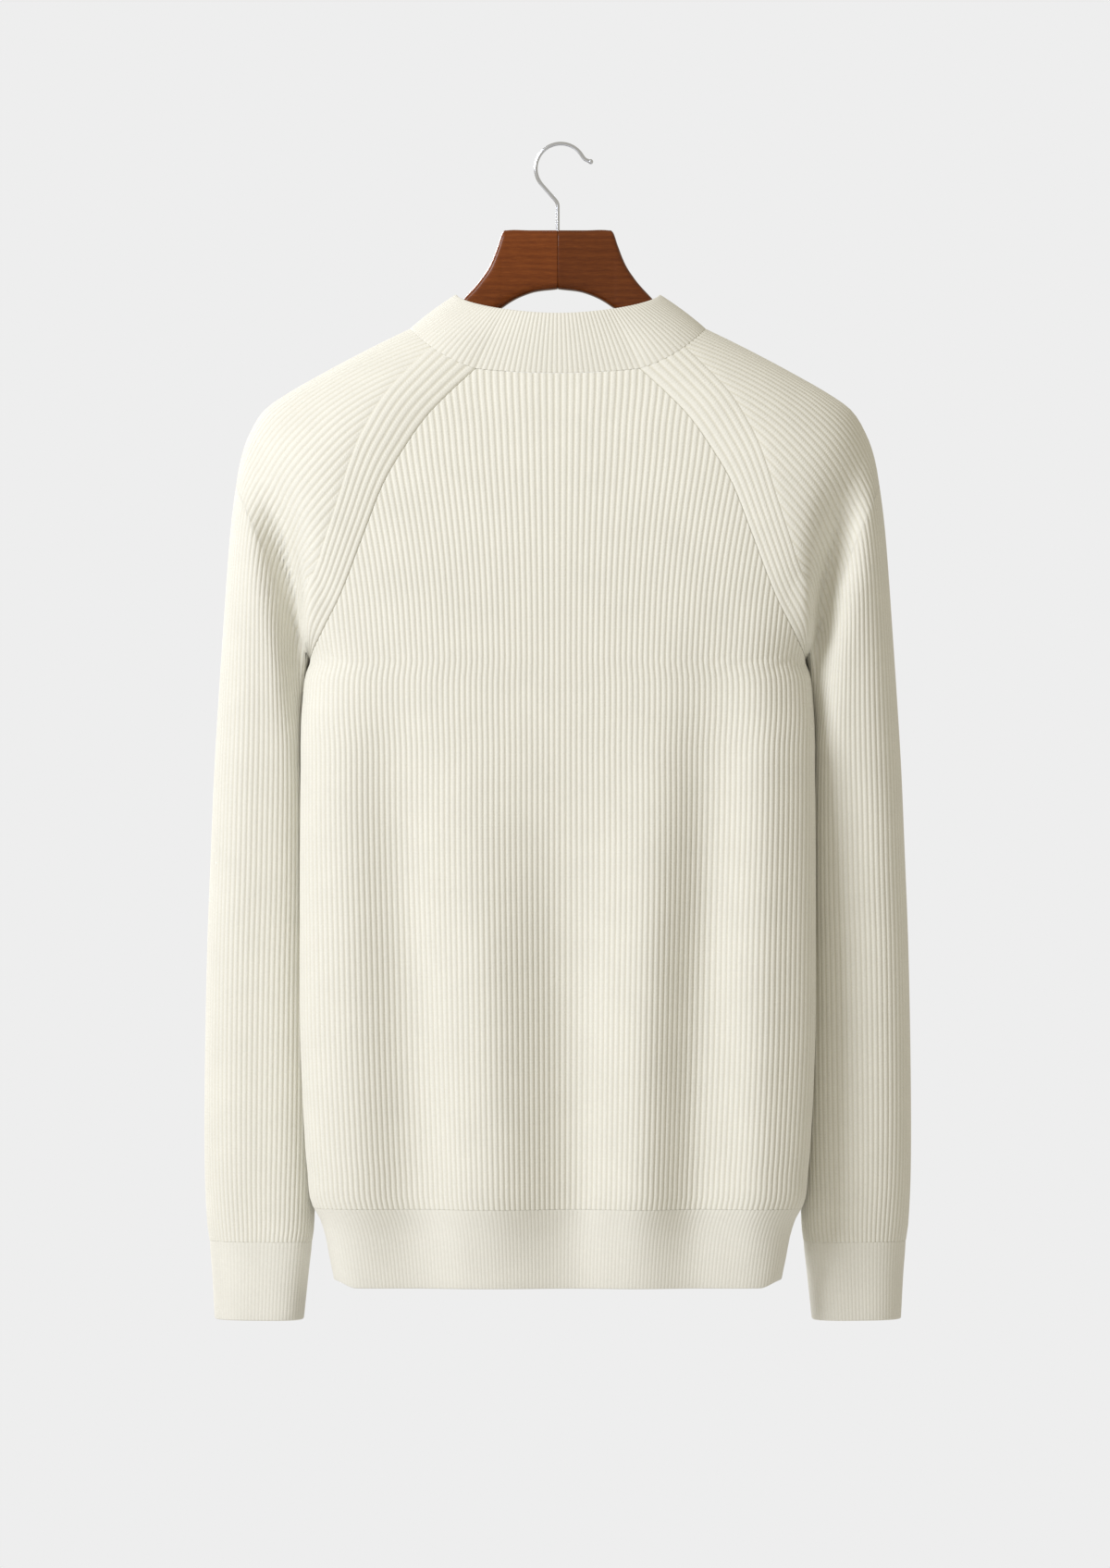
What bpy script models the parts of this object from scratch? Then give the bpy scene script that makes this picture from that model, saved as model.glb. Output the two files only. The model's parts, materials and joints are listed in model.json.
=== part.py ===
"""Ribbed raglan henley sweater with a stand collar, hanging from a wooden hanger by its hook.

Axes: +Z up, +X to the wearer's right, -Y to the garment's back, +Y to its front. The origin is the
point under the top of the hook where a rail bears. Sizes are in millimetres, and "down" is how far
a point lies below the origin. The cloth is a set of walls: back, front, two sleeves, collar, hem
bands, cuffs and placket, each lofted through the sections in the tables below.
"""

import math

import bmesh
import bpy
import numpy as np
from mathutils import Vector

MM = 0.001
BACK, FRONT = -1, 1

# Driving sizes of the cloth
CLOTH = 2.4
COLLAR_CLOTH = 3.2
SEAM_GAP = 0.2          # each piece stops this far from its seam line
SEAM_SINK = 0.8         # a seam lies in a groove this deep
SEAM_MARGIN = 4.5       # the groove reaches this far into a piece
BODY_ROUNDNESS = {BACK: 3.0, FRONT: 2.4}    # 2 is an ellipse, more is squarer
SIDE_FOLD_BACK = 13.0   # below the underarms the side folds lie this far towards the back
SLEEVE_ROUNDNESS = 2.2
UNDERARM_DOWN = 371.4
UNDERARM_SHIFT = np.array([1.0, 0.0, 0.8])   # the sleeve's start below the underarm stands off by this
HEM_SEAM_DOWN = 763.0
HEM_DOWN = 819.7
CUFF_SEAM_DOWN = 789.0
CUFF_DOWN = 845.6
HEM_CORNER_RISE = 5.0
CUFF_CORNER_RISE = 3.0

# Neck and collar
NECK_BACK_DOWN = 166.2
NECK_FRONT_DOWN = 217.0
NECK_HALF_WIDTH = 106.6
NECK_BACK_DEPTH = 50.0
NECK_FRONT_DEPTH = 56.0
COLLAR_TOP_HALF_WIDTH = 73.0
COLLAR_TOP_BACK = 47.0
COLLAR_TOP_FRONT = 52.0
COLLAR_TOP_SIDE_DOWN = 107.0
COLLAR_BACK_DROP = 15.7
COLLAR_FRONT_DROP = 70.0
COLLAR_BULGE = 1.5
COLLAR_ROUNDNESS = 2.4

# Placket and buttons
PLACKET_HALF_WIDTH = 16.0
PLACKET_PROUD = 0.5
UNDER_PLACKET_SET_BACK = 4.8
BUTTON_RADIUS = 5.6
BUTTON_THICKNESS = 2.6
BUTTON_HOLE_RADIUS = 0.7
BUTTON_CLEARANCE = 0.6
BUTTON_HOLE_OFFSET = 1.5
BUTTON_PLACES = (0.12, 0.38, 0.64, 0.88)   # shares of the placket's length, from its foot

# How many faces each piece takes
HALF_BODY_COLUMNS = 12
HALF_SLEEVE_COLUMNS = 9
COLLAR_ROWS = 2

# The torso: one row for each level ring
BODY = np.array([
    # down, half_width, back, front
    (125.0, 98.0, 40.0, 38.0),
    (141.7, 126.2, 43.5, 41.5),
    (157.6, 156.8, 47.5, 44.5),
    (173.6, 186.5, 52.0, 47.5),
    (194.9, 214.8, 58.0, 51.5),
    (235.0, 222.0, 66.0, 61.0),
    (275.0, 215.0, 70.5, 69.5),
    (315.0, 202.0, 72.5, 74.0),
    (345.0, 190.0, 72.5, 75.0),
    (362.0, 181.5, 73.0, 75.0),
    (371.4, 178.0, 73.0, 75.0),
    (400.0, 181.0, 73.0, 75.0),
    (450.0, 183.0, 73.0, 74.5),
    (560.0, 184.5, 71.0, 72.5),
    (650.0, 184.0, 69.0, 70.5),
    (700.0, 182.0, 67.5, 69.0),
    (735.0, 179.5, 66.5, 68.0),
    (763.0, 175.0, 65.0, 66.5),
    (770.0, 171.0, 63.5, 65.0),
    (780.0, 167.5, 61.5, 63.0),
    (797.0, 164.0, 60.0, 61.5),
    (819.7, 160.5, 59.0, 60.5),
])

# The raglan seams and the sleeve above the underarm: one row for each line across the sleeve
RAGLAN = np.array([
    # back_x, back_down, front_x, front_down, top_x, top_down, depth, bow
    (58.6, 162.9, 80.0, 188.5, 106.6, 132.3, 51.0, 4.0),
    (75.9, 178.9, 90.0, 205.0, 127.0, 142.2, 57.0, 3.5),
    (93.2, 196.9, 100.0, 222.0, 150.0, 154.0, 63.0, 3.0),
    (107.9, 217.6, 110.0, 240.0, 172.5, 166.2, 66.0, 2.5),
    (123.9, 244.9, 122.0, 262.0, 194.0, 178.5, 69.0, 2.0),
    (138.5, 282.2, 136.0, 290.0, 211.5, 191.2, 70.0, 1.5),
    (153.8, 322.1, 152.0, 322.0, 222.5, 209.5, 67.0, 1.0),
    (168.5, 351.4, 167.0, 351.4, 227.5, 224.0, 59.0, 0.5),
    (178.0, 371.4, 178.0, 371.4, 230.0, 233.0, 52.0, 0.0),
])

# The sleeve and cuff below the underarm: one row for each ring
TUBE = np.array([
    # outer_x, outer_down, inner_x, inner_down, outer_forward, inner_forward, depth
    (234.2, 268.0, 181.0, 392.0, 1.0, 5.0, 52.0),
    (237.5, 305.0, 182.5, 415.0, 3.5, 11.0, 52.5),
    (240.5, 345.0, 182.6, 440.0, 7.0, 17.0, 53.5),
    (244.0, 395.0, 182.4, 475.0, 11.0, 22.0, 53.0),
    (247.5, 450.0, 182.3, 512.0, 15.0, 24.0, 51.5),
    (250.2, 510.0, 182.3, 553.0, 18.5, 25.0, 49.5),
    (252.7, 570.0, 182.2, 597.0, 21.5, 25.0, 48.0),
    (254.3, 635.0, 181.8, 650.0, 24.0, 25.0, 46.5),
    (255.1, 700.0, 180.8, 706.0, 25.5, 24.0, 45.0),
    (254.8, 745.0, 179.0, 745.0, 26.0, 22.0, 42.0),
    (253.2, 777.0, 177.0, 777.0, 26.0, 20.0, 37.5),
    (251.5, 789.0, 177.5, 789.0, 26.0, 19.0, 35.0),
    (251.0, 797.0, 178.2, 797.0, 26.0, 18.5, 33.5),
    (249.6, 815.0, 180.3, 815.0, 26.0, 18.5, 32.5),
    (248.0, 845.6, 183.5, 845.6, 26.0, 18.5, 31.5),
])
CUFF_SEAM_ROW = 11

# Hanging pleats of the torso: a positive height stands out from the body
FOLDS = np.array([
    # side, x_at_start, x_at_hem, width, height, start_down, full_down
    (BACK, -150.0, -142.0, 24.0, 4.5, 300.0, 480.0),
    (BACK, -118.0, -100.0, 30.0, -9.0, 290.0, 620.0),
    (BACK, -62.0, -44.0, 32.0, 6.0, 400.0, 640.0),
    (BACK, 4.0, 14.0, 30.0, -9.0, 400.0, 620.0),
    (BACK, 70.0, 58.0, 26.0, 6.0, 360.0, 600.0),
    (BACK, 112.0, 100.0, 26.0, -9.0, 300.0, 600.0),
    (BACK, 150.0, 146.0, 24.0, 4.5, 300.0, 480.0),
    (FRONT, -140.0, -132.0, 26.0, 4.5, 320.0, 500.0),
    (FRONT, -96.0, -88.0, 30.0, -8.5, 330.0, 640.0),
    (FRONT, -34.0, -40.0, 32.0, 5.0, 470.0, 660.0),
    (FRONT, 22.0, 10.0, 26.0, -6.5, 480.0, 680.0),
    (FRONT, 58.0, 62.0, 30.0, 5.5, 430.0, 620.0),
    (FRONT, 122.0, 106.0, 30.0, -9.0, 310.0, 600.0),
    (FRONT, 152.0, 150.0, 22.0, 4.0, 320.0, 520.0),
])
HEM_FOLD_SHARE = 0.45   # what is left of a pleat at the hem

# The crease that runs up and out from the underarm, as a share of the depth that it takes away
CREASE = np.array([
    # down, x, strength, width
    (225.0, 212.0, 0.0, 17.0),
    (252.0, 207.0, 0.14, 17.0),
    (282.0, 200.0, 0.34, 17.0),
    (312.0, 192.5, 0.50, 16.0),
    (345.0, 186.5, 0.55, 14.0),
    (385.0, 183.0, 0.40, 10.0),
    (430.0, 183.0, 0.0, 8.0),
])

# The hanger's arm, from the middle joint to its tip: one row for each upright section
ARM = np.array([
    # x, top_down, bottom_down, half_thickness, forward
    (0.0, 61.1, 103.4, 9.0, 0.0),
    (20.0, 61.1, 106.5, 9.0, 0.0),
    (37.6, 61.1, 115.2, 9.0, 0.0),
    (39.6, 61.9, 116.6, 9.0, 0.0),
    (40.8, 64.5, 117.3, 9.0, 0.0),
    (43.0, 71.5, 118.8, 9.2, 0.0),
    (48.0, 84.3, 122.3, 9.5, 0.2),
    (55.3, 96.0, 126.6, 10.0, 0.4),
    (65.3, 107.5, 131.8, 10.5, 0.8),
    (75.3, 117.6, 137.5, 10.8, 1.2),
    (88.6, 128.5, 145.5, 11.5, 2.0),
    (106.6, 140.5, 156.5, 13.0, 3.0),
    (133.0, 155.0, 171.0, 16.0, 4.5),
    (166.5, 171.0, 188.0, 19.5, 6.0),
    (190.0, 185.0, 203.5, 21.5, 7.0),
    (198.5, 192.0, 208.0, 20.0, 7.5),
    (202.5, 197.0, 206.0, 15.0, 7.5),
])
ARM_ROUNDNESS = 5.0
ARM_SIDES = 20
JOINT_GAP = 0.3

# The hook
WIRE_RADIUS = 1.45
HOOK_RADIUS = 17.95
HOOK_CENTRE_X = 2.1
HOOK_START_ANGLE = 30.0
HOOK_END_ANGLE = 222.0
HOOK_FLARE = ((19.2, 9.6), (20.6, 10.5), (23.6, 11.6))   # x, down
HOOK_BEND = ((-1.6, 39.4), (-0.5, 41.0), (0.0, 43.0))    # x, down
STEM_FOOT_DOWN = 83.0
STEM_CLEARANCE = 0.3
BALL_RADIUS = 1.9

COLOURS = {
    # name: (red, green, blue), roughness, metallic
    "knit": ((0.80, 0.77, 0.66), 0.95, 0.0),
    "fine_knit": ((0.74, 0.72, 0.62), 0.95, 0.0),
    "button": ((0.78, 0.74, 0.64), 0.35, 0.0),
    "wood": ((0.16, 0.045, 0.015), 0.3, 0.0),
    "steel": ((0.62, 0.61, 0.60), 0.22, 1.0),
}


# ---------------------------------------------------------------- curves

def spline(table, column, at):
    """A smooth curve through one column of a table whose first column rises."""
    xs, ys = table[:, 0], table[:, column]
    slope = np.gradient(ys, xs)
    at = np.clip(np.asarray(at, float), xs[0], xs[-1])
    i = np.clip(np.searchsorted(xs, at) - 1, 0, len(xs) - 2)
    h = xs[i + 1] - xs[i]
    t = (at - xs[i]) / h
    return ((2 * t**3 - 3 * t**2 + 1) * ys[i] + (t**3 - 2 * t**2 + t) * h * slope[i]
            + (3 * t**2 - 2 * t**3) * ys[i + 1] + (t**3 - t**2) * h * slope[i + 1])


def ramp(value, low, high):
    t = np.clip((value - low) / (high - low), 0.0, 1.0)
    return t * t * (3 - 2 * t)


def lengths(line):
    """Distance along a line of points, from its first."""
    steps = np.linalg.norm(np.diff(line, axis=0), axis=1)
    return np.concatenate([[0.0], np.cumsum(steps)])


def placed(line, at):
    """Points of a line at these distances along it."""
    along = lengths(line)
    return np.stack([np.interp(at, along, line[:, k]) for k in range(3)], axis=1)


# ---------------------------------------------------------------- the cloth's form

def folds(x, down, side):
    """How far the pleats stand out from the torso."""
    total = np.zeros_like(x)
    for fold_side, x_start, x_hem, width, height, start, full in FOLDS:
        if fold_side == side:
            centre = x_start + (x_hem - x_start) * ramp(down, start, HEM_SEAM_DOWN)
            total += height * ramp(down, start, full) * np.exp(-(((x - centre) / width) ** 2))
    return total * (1 - (1 - HEM_FOLD_SHARE) * ramp(down, HEM_SEAM_DOWN - 20, HEM_DOWN))


def torso_depth(x, down, side):
    """The torso's depth at a point of its back or front, before the underarm crease."""
    share = np.clip(np.abs(x) / spline(BODY, 1, down), 0.0, 1.0)
    depth = spline(BODY, 2 if side == BACK else 3, down)
    power = BODY_ROUNDNESS[side]
    flat = depth * (1 - share**power) ** (1 / power)
    fold_back = SIDE_FOLD_BACK * ramp(down, UNDERARM_DOWN, UNDERARM_DOWN + 70) * share**6
    return side * (flat + folds(x, down, side) * (1 - share**6)) - fold_back


def creased(points):
    """Takes depth away along the crease that runs up from each underarm."""
    x, down = np.abs(points[:, 0]), points[:, 2]
    away = (x - spline(CREASE, 1, down)) / spline(CREASE, 3, down)
    inside = (down > CREASE[0, 0]) & (down < CREASE[-1, 0])
    pinch = np.where(inside, spline(CREASE, 2, down) * np.exp(-away**2), 0.0)
    out = points.copy()
    out[:, 1] *= 1 - pinch
    return out


def torso_line(half_width, edge_down, centre_down, side, samples=241):
    """A line across the back or front, from the left edge to the right: x, y, down."""
    x = half_width * np.sin(np.linspace(-math.pi / 2, math.pi / 2, samples))
    down = centre_down + (edge_down - centre_down) * (x / half_width) ** 2
    return creased(np.stack([x, torso_depth(x, down, side), down], axis=1))


def torso_lines(side, level_downs):
    """The lines across a panel: those between the raglan seams, then level rings down to the hem."""
    x_column, down_column = (0, 1) if side == BACK else (2, 3)
    neck_down = NECK_BACK_DOWN if side == BACK else NECK_FRONT_DOWN
    seam_x, seam_down = RAGLAN[:, x_column], RAGLAN[:, down_column]
    share = (seam_down - seam_down[0]) / (UNDERARM_DOWN - seam_down[0])
    centre = neck_down + (UNDERARM_DOWN - neck_down) * share
    upper = [torso_line(x, d, c, side) for x, d, c in zip(seam_x, seam_down, centre)]
    lower = [torso_line(float(spline(BODY, 1, d)), d, d, side) for d in level_downs]
    return upper + lower


def half_sleeve(outer, inner, inner_depth, depth, forward, side, bow=0.0, samples=121):
    """Half a line round the sleeve, from its inner end over the outer fold: x, y, down. It lies
    forward by one amount at its inner end and another at its outer fold."""
    reach = (1 - (abs(inner_depth) / depth) ** SLEEVE_ROUNDNESS) ** (1 / SLEEVE_ROUNDNESS)
    chord = np.array(outer) - np.array(inner)
    half = np.linalg.norm(chord) / (1 + reach)
    along = -np.cos(np.linspace(math.acos(reach), math.pi, samples))
    y = depth * (1 - np.minimum(np.abs(along), 1.0) ** SLEEVE_ROUNDNESS) ** (1 / SLEEVE_ROUNDNESS)
    unit = chord / np.linalg.norm(chord)
    place = np.array(outer) + np.outer((along - 1) * half, unit)
    t = (along + reach) / (1 + reach)
    place += np.outer(4 * bow * t * (1 - t), [-unit[1], unit[0]])
    y = side * y + forward[0] + (forward[1] - forward[0]) * t
    return creased(np.stack([place[:, 0], y, place[:, 1]], axis=1))


def raglan_half(row, side):
    back_x, back_down, front_x, front_down, top_x, top_down, depth, bow = row
    x, down = (back_x, back_down) if side == BACK else (front_x, front_down)
    inner_depth = float(torso_depth(np.array([x]), np.array([down]), side)[0])
    return half_sleeve((top_x, top_down), (x, down), inner_depth, depth, (0.0, 0.0), side, bow)


def tube_half(row, side):
    outer_x, outer_down, inner_x, inner_down, outer_forward, inner_forward, depth = row
    forward = (inner_forward, outer_forward)
    return half_sleeve((outer_x, outer_down), (inner_x, inner_down), 0.0, depth, forward, side)


# ---------------------------------------------------------------- grids of points

def torso_stations(half_length, slot):
    """Distances from the centre line to a panel's edge, with a column close to its seam."""
    first = [0.0, slot] if slot else [0.0]
    columns = HALF_BODY_COLUMNS - len(first) + 1
    last = half_length - SEAM_MARGIN
    return np.array(first + list(np.linspace(first[-1], last, columns + 1)[1:]) + [half_length])


def torso_grid(side, level_downs, slot=0.0):
    rows = []
    for line in torso_lines(side, level_downs):
        along = lengths(line)
        middle = along[-1] / 2
        right = torso_stations(middle, slot)
        rows.append(placed(line, middle + np.concatenate([-right[:0:-1], right])))
    return np.array(rows)


def sleeve_grid(halves):
    """Rows from the back seam over the outer fold to the front seam, for the wearer's right sleeve."""
    rows = []
    for back, front in halves:
        sides = []
        for line in (back, front):
            total = lengths(line)[-1]
            steps = np.linspace(SEAM_MARGIN, total, HALF_SLEEVE_COLUMNS)
            sides.append(placed(line, np.concatenate([[0.0], steps])))
        rows.append(np.concatenate([sides[0], sides[1][-2::-1]]))
    return np.array(rows)


def mirrored(grid):
    """The wearer's left copy of a grid, with its columns turned round so that it still faces out."""
    out = grid[:, ::-1].copy()
    out[:, :, 0] *= -1
    return out


def rounded_foot(grid, rise, middle_x, half_width):
    """Lifts the ends of a bottom edge a little, so that its corners are round."""
    share = np.abs(np.abs(grid[-1, :, 0]) - middle_x) / half_width
    grid[-1, :, 2] -= rise * ramp(share, 0.93, 1.0)
    return grid


def collar_grid(neck):
    """The stand collar: rows from the neck seam to its top edge, leaning in towards the neck."""
    x, y, down = neck.T
    back = y < 0
    angle = np.arctan2(y / np.where(back, NECK_BACK_DEPTH, NECK_FRONT_DEPTH), x / NECK_HALF_WIDTH)
    round_about = np.abs(np.sin(angle))
    drop = np.where(back, COLLAR_BACK_DROP * round_about**1.6, COLLAR_FRONT_DROP * round_about**2)
    reach = (np.abs(np.cos(angle)) ** COLLAR_ROUNDNESS + round_about**COLLAR_ROUNDNESS) ** (-1 / COLLAR_ROUNDNESS)
    top = np.stack([
        COLLAR_TOP_HALF_WIDTH * reach * np.cos(angle),
        np.where(back, COLLAR_TOP_BACK, COLLAR_TOP_FRONT) * reach * np.sin(angle),
        COLLAR_TOP_SIDE_DOWN + drop,
    ], axis=1)
    out = np.stack([np.cos(angle), np.sin(angle), np.zeros_like(x)], axis=1)
    rows = []
    for t in np.linspace(1.0, 0.0, COLLAR_ROWS + 1):
        rows.append(neck + (top - neck) * t + out * COLLAR_BULGE * 4 * t * (1 - t))
    return np.array(rows)


def facing_out(grid):
    """Unit normals of a grid whose rows go down and whose columns go round, pointing out."""
    down_way = np.gradient(grid, axis=0)
    round_way = np.gradient(grid, axis=1)
    normal = np.cross(round_way, down_way)
    return normal / np.maximum(np.linalg.norm(normal, axis=2, keepdims=True), 1e-9)


def seamed(grid, top=True, bottom=True, side_rows=None):
    """Stops the grid short of its seams and sinks those edges into a groove. The first side_rows
    rows have a seam at both ends, and None stands for all of them."""
    sides = slice(0, side_rows)
    edges = [((sides, 0), (sides, 1)), ((sides, -1), (sides, -2))]
    if top:
        edges.append(((0, slice(None)), (1, slice(None))))
    if bottom:
        edges.append(((-1, slice(None)), (-2, slice(None))))
    shift = np.zeros_like(grid)
    sunk = np.zeros(grid.shape[:2])
    for edge, inner in edges:
        inward = grid[inner] - grid[edge]
        shift[edge] += SEAM_GAP * inward / np.maximum(np.linalg.norm(inward, axis=-1, keepdims=True), 1e-9)
        sunk[edge] = SEAM_SINK
    return grid + shift - facing_out(grid) * sunk[..., None]


# ---------------------------------------------------------------- Blender objects

def clear_scene():
    for obj in list(bpy.data.objects):
        bpy.data.objects.remove(obj)


def collection(name):
    made = bpy.data.collections.new(name)
    bpy.context.scene.collection.children.link(made)
    return made


def material(name):
    found = bpy.data.materials.get(name)
    if found:
        return found
    colour, roughness, metallic = COLOURS[name]
    made = bpy.data.materials.new(name)
    made.use_nodes = True
    shader = made.node_tree.nodes["Principled BSDF"]
    shader.inputs["Base Color"].default_value = (*colour, 1.0)
    shader.inputs["Roughness"].default_value = roughness
    shader.inputs["Metallic"].default_value = metallic
    return made


def add_object(name, mesh, material_name, into):
    obj = bpy.data.objects.new(name, mesh)
    if material_name:
        obj.data.materials.append(material(material_name))
    into.objects.link(obj)
    return obj


def to_metres(points):
    """From x, y, down in millimetres to x, y, z in metres."""
    return np.stack([points[..., 0], points[..., 1], -points[..., 2]], axis=-1) * MM


def loft(grid, left_out=(), welded_from=None):
    """A surface through a grid of points. Cells in left_out are open, and from row welded_from down
    the last column is the first one, which closes a tube."""
    rows, columns = grid.shape[:2]
    mesh = bmesh.new()
    verts = [[mesh.verts.new(p) for p in row] for row in to_metres(grid)]
    if welded_from is not None:
        for r in range(welded_from, rows):
            mesh.verts.remove(verts[r][-1])
            verts[r][-1] = verts[r][0]
    for r in range(rows - 1):
        for c in range(columns - 1):
            if (r, c) not in left_out:
                mesh.faces.new((verts[r][c], verts[r][c + 1], verts[r + 1][c + 1], verts[r + 1][c]))
    mesh.verts.ensure_lookup_table()
    for loose in [v for v in mesh.verts if not v.link_faces]:
        mesh.verts.remove(loose)
    for face in mesh.faces:
        face.smooth = True
    for face in mesh.faces:
        face.normal_flip()
    mesh.normal_update()
    data = bpy.data.meshes.new("loft")
    mesh.to_mesh(data)
    mesh.free()
    return data


def cloth(name, grid, material_name, into, thickness=CLOTH, **open_cells):
    """A wall of cloth: the surface, thickened towards the inside of the garment."""
    obj = add_object(name, loft(grid, **open_cells), material_name, into)
    wall = obj.modifiers.new("wall", "SOLIDIFY")
    wall.thickness = thickness * MM
    wall.offset = -1.0
    wall.use_rim = True
    return obj


# ---------------------------------------------------------------- the sweater

def torso(into):
    """Back and front panels with their hem bands. Returns the panels' own grids, uncut."""
    levels = [400.0, 450.0, 505.0, 560.0, 615.0, 670.0, 720.0, HEM_SEAM_DOWN - SEAM_MARGIN, HEM_SEAM_DOWN]
    hems = [HEM_SEAM_DOWN, HEM_SEAM_DOWN + SEAM_MARGIN, 780.0, 800.0, HEM_DOWN]
    grids = {}
    for side, name in ((BACK, "back"), (FRONT, "front")):
        slot = PLACKET_HALF_WIDTH if side == FRONT else 0.0
        grid = torso_grid(side, levels + hems[1:], slot)
        if side == FRONT:
            grid = grid[:, ::-1]
        panel = grid[: -len(hems) + 1]
        band = rounded_foot(grid[-len(hems):].copy(), HEM_CORNER_RISE, 0.0, BODY[-1, 1])
        centre = panel.shape[1] // 2
        above = len(RAGLAN) - 1
        open_cells = [(r, c) for r in range(above) for c in (centre - 1, centre)] if slot else ()
        shaped = seamed(panel)
        if slot:
            for column, inner in ((centre - 1, centre - 2), (centre + 1, centre + 2)):
                inward = panel[:above, inner] - panel[:above, column]
                inward /= np.linalg.norm(inward, axis=-1, keepdims=True)
                shaped[:above, column] += inward * SEAM_GAP
        cloth(f"{name}_panel", shaped, "knit", into, left_out=set(open_cells))
        cloth(f"hem_band_{name}", seamed(band, bottom=False), "fine_knit", into)
        grids[name] = panel
    return grids


def sleeves(into):
    """Sleeves and cuffs. Returns the right sleeve's line at the neck seam."""
    raglan = [(raglan_half(row, BACK), raglan_half(row, FRONT)) for row in RAGLAN]
    tube = [(tube_half(row, BACK), tube_half(row, FRONT)) for row in TUBE]
    grid = sleeve_grid(raglan + tube)
    seam_row = len(raglan) + CUFF_SEAM_ROW
    sleeve = grid[: seam_row + 1]
    middle_x = (TUBE[-1, 0] + TUBE[-1, 2]) / 2
    cuff = rounded_foot(grid[seam_row:].copy(), CUFF_CORNER_RISE, middle_x, TUBE[-1, 0] - middle_x)
    underarm = len(raglan) - 1
    for name, turn in (("right", lambda g: g), ("left", mirrored)):
        shaped = seamed(turn(sleeve), side_rows=underarm)
        shaped[underarm, (0, -1)] += UNDERARM_SHIFT * np.sign(shaped[0, 0])
        cloth(f"sleeve_{name}", shaped, "knit", into, welded_from=underarm)
        band = seamed(turn(cuff), bottom=False, side_rows=0)
        cloth(f"cuff_{name}", band, "fine_knit", into, welded_from=0)
    return sleeve[0]


def neck_ring(panels, sleeve_neck):
    """The neck seam's points, from the placket's right edge round the back to its left edge."""
    back, front = panels["back"][0], panels["front"][0]
    centre = len(front) // 2
    right_sleeve = sleeve_neck[::-1]
    left_sleeve = mirrored(sleeve_neck[None])[0][::-1]
    right_front = front[: centre + 1][::-1]
    left_front = front[centre:][::-1]
    return np.concatenate([right_front[1:], right_sleeve[1:], back[::-1][1:], left_sleeve[1:], left_front[1:-1]])


def collar_and_placket(panels, sleeve_neck, into):
    ring = neck_ring(panels, sleeve_neck)
    cloth("collar", seamed(collar_grid(ring)[:, ::-1], top=False), "fine_knit", into, thickness=COLLAR_CLOTH)
    front = panels["front"]
    centre = front.shape[1] // 2
    slot = front[: len(RAGLAN), centre - 1 : centre + 2]
    upright = collar_grid(slot[0])
    strip = np.concatenate([upright[:-1], slot])
    out = facing_out(strip)
    flat = strip[:, 1:2]
    over = flat + (strip - flat) * (1 - 2.2 * SEAM_GAP / PLACKET_HALF_WIDTH) + out * PLACKET_PROUD
    over[-1, :, 2] -= SEAM_GAP * 2
    cloth("placket_over", over, "fine_knit", into)
    under = flat + (strip - flat) * 1.15 - out * UNDER_PLACKET_SET_BACK
    cloth("placket_under", under, "fine_knit", into)
    return over[:, 1], out[:, 1]


def buttons(line, out, into, cutters):
    """Four-hole buttons standing on the placket."""
    line, out = line[::-1], out[::-1]
    along = lengths(line)
    for number, share in enumerate(BUTTON_PLACES, 1):
        at = share * along[-1]
        middle = placed(line, [at])[0]
        facing = [np.interp(at, along, out[:, k]) for k in range(3)]
        facing = Vector((facing[0], facing[1], -facing[2])).normalized()
        rest = Vector(to_metres(middle)) + facing * BUTTON_CLEARANCE * MM
        turn = facing.to_track_quat("Z", "Y")
        rim, lip = BUTTON_RADIUS, BUTTON_THICKNESS
        profile = [
            (0.0, 0.75 * lip), (0.62 * rim, 0.75 * lip), (0.74 * rim, lip), (0.9 * rim, lip),
            (rim, 0.8 * lip), (rim, 0.3 * lip), (0.86 * rim, 0.0), (0.0, 0.0),
        ]
        disc = bpy.data.meshes.new(f"button_{number}")
        disc.from_pydata([(r * MM, 0.0, z * MM) for r, z in profile],
                         [(i, i + 1) for i in range(len(profile) - 1)], [])
        button = add_object(f"button_{number}", disc, "button", into)
        screw = button.modifiers.new("turned", "SCREW")
        screw.steps = screw.render_steps = 24
        screw.use_merge_vertices = True
        screw.merge_threshold = 0.00001
        button.location = rest
        button.rotation_mode = "QUATERNION"
        button.rotation_quaternion = turn
        drill_mesh = bmesh.new()
        for quarter in range(4):
            angle = math.radians(45 + 90 * quarter)
            made = bmesh.ops.create_cone(
                drill_mesh, cap_ends=True, segments=8, radius1=BUTTON_HOLE_RADIUS * MM,
                radius2=BUTTON_HOLE_RADIUS * MM, depth=4 * BUTTON_THICKNESS * MM)
            spot = Vector((math.cos(angle), math.sin(angle), 0)) * BUTTON_HOLE_OFFSET * MM
            bmesh.ops.translate(drill_mesh, verts=made["verts"], vec=spot)
        drill_data = bpy.data.meshes.new(f"button_drill_{number}")
        drill_mesh.to_mesh(drill_data)
        drill_mesh.free()
        drill = add_object(f"button_drill_{number}", drill_data, None, cutters)
        drill.location = rest
        drill.rotation_mode = "QUATERNION"
        drill.rotation_quaternion = turn
        cut(button, drill)


# ---------------------------------------------------------------- the hanger

def cut(obj, cutter, operation="DIFFERENCE"):
    cutter.hide_render = True
    cutter.display_type = "WIRE"
    boolean = obj.modifiers.new("cut", "BOOLEAN")
    boolean.operation = operation
    boolean.object = cutter
    return boolean


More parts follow.
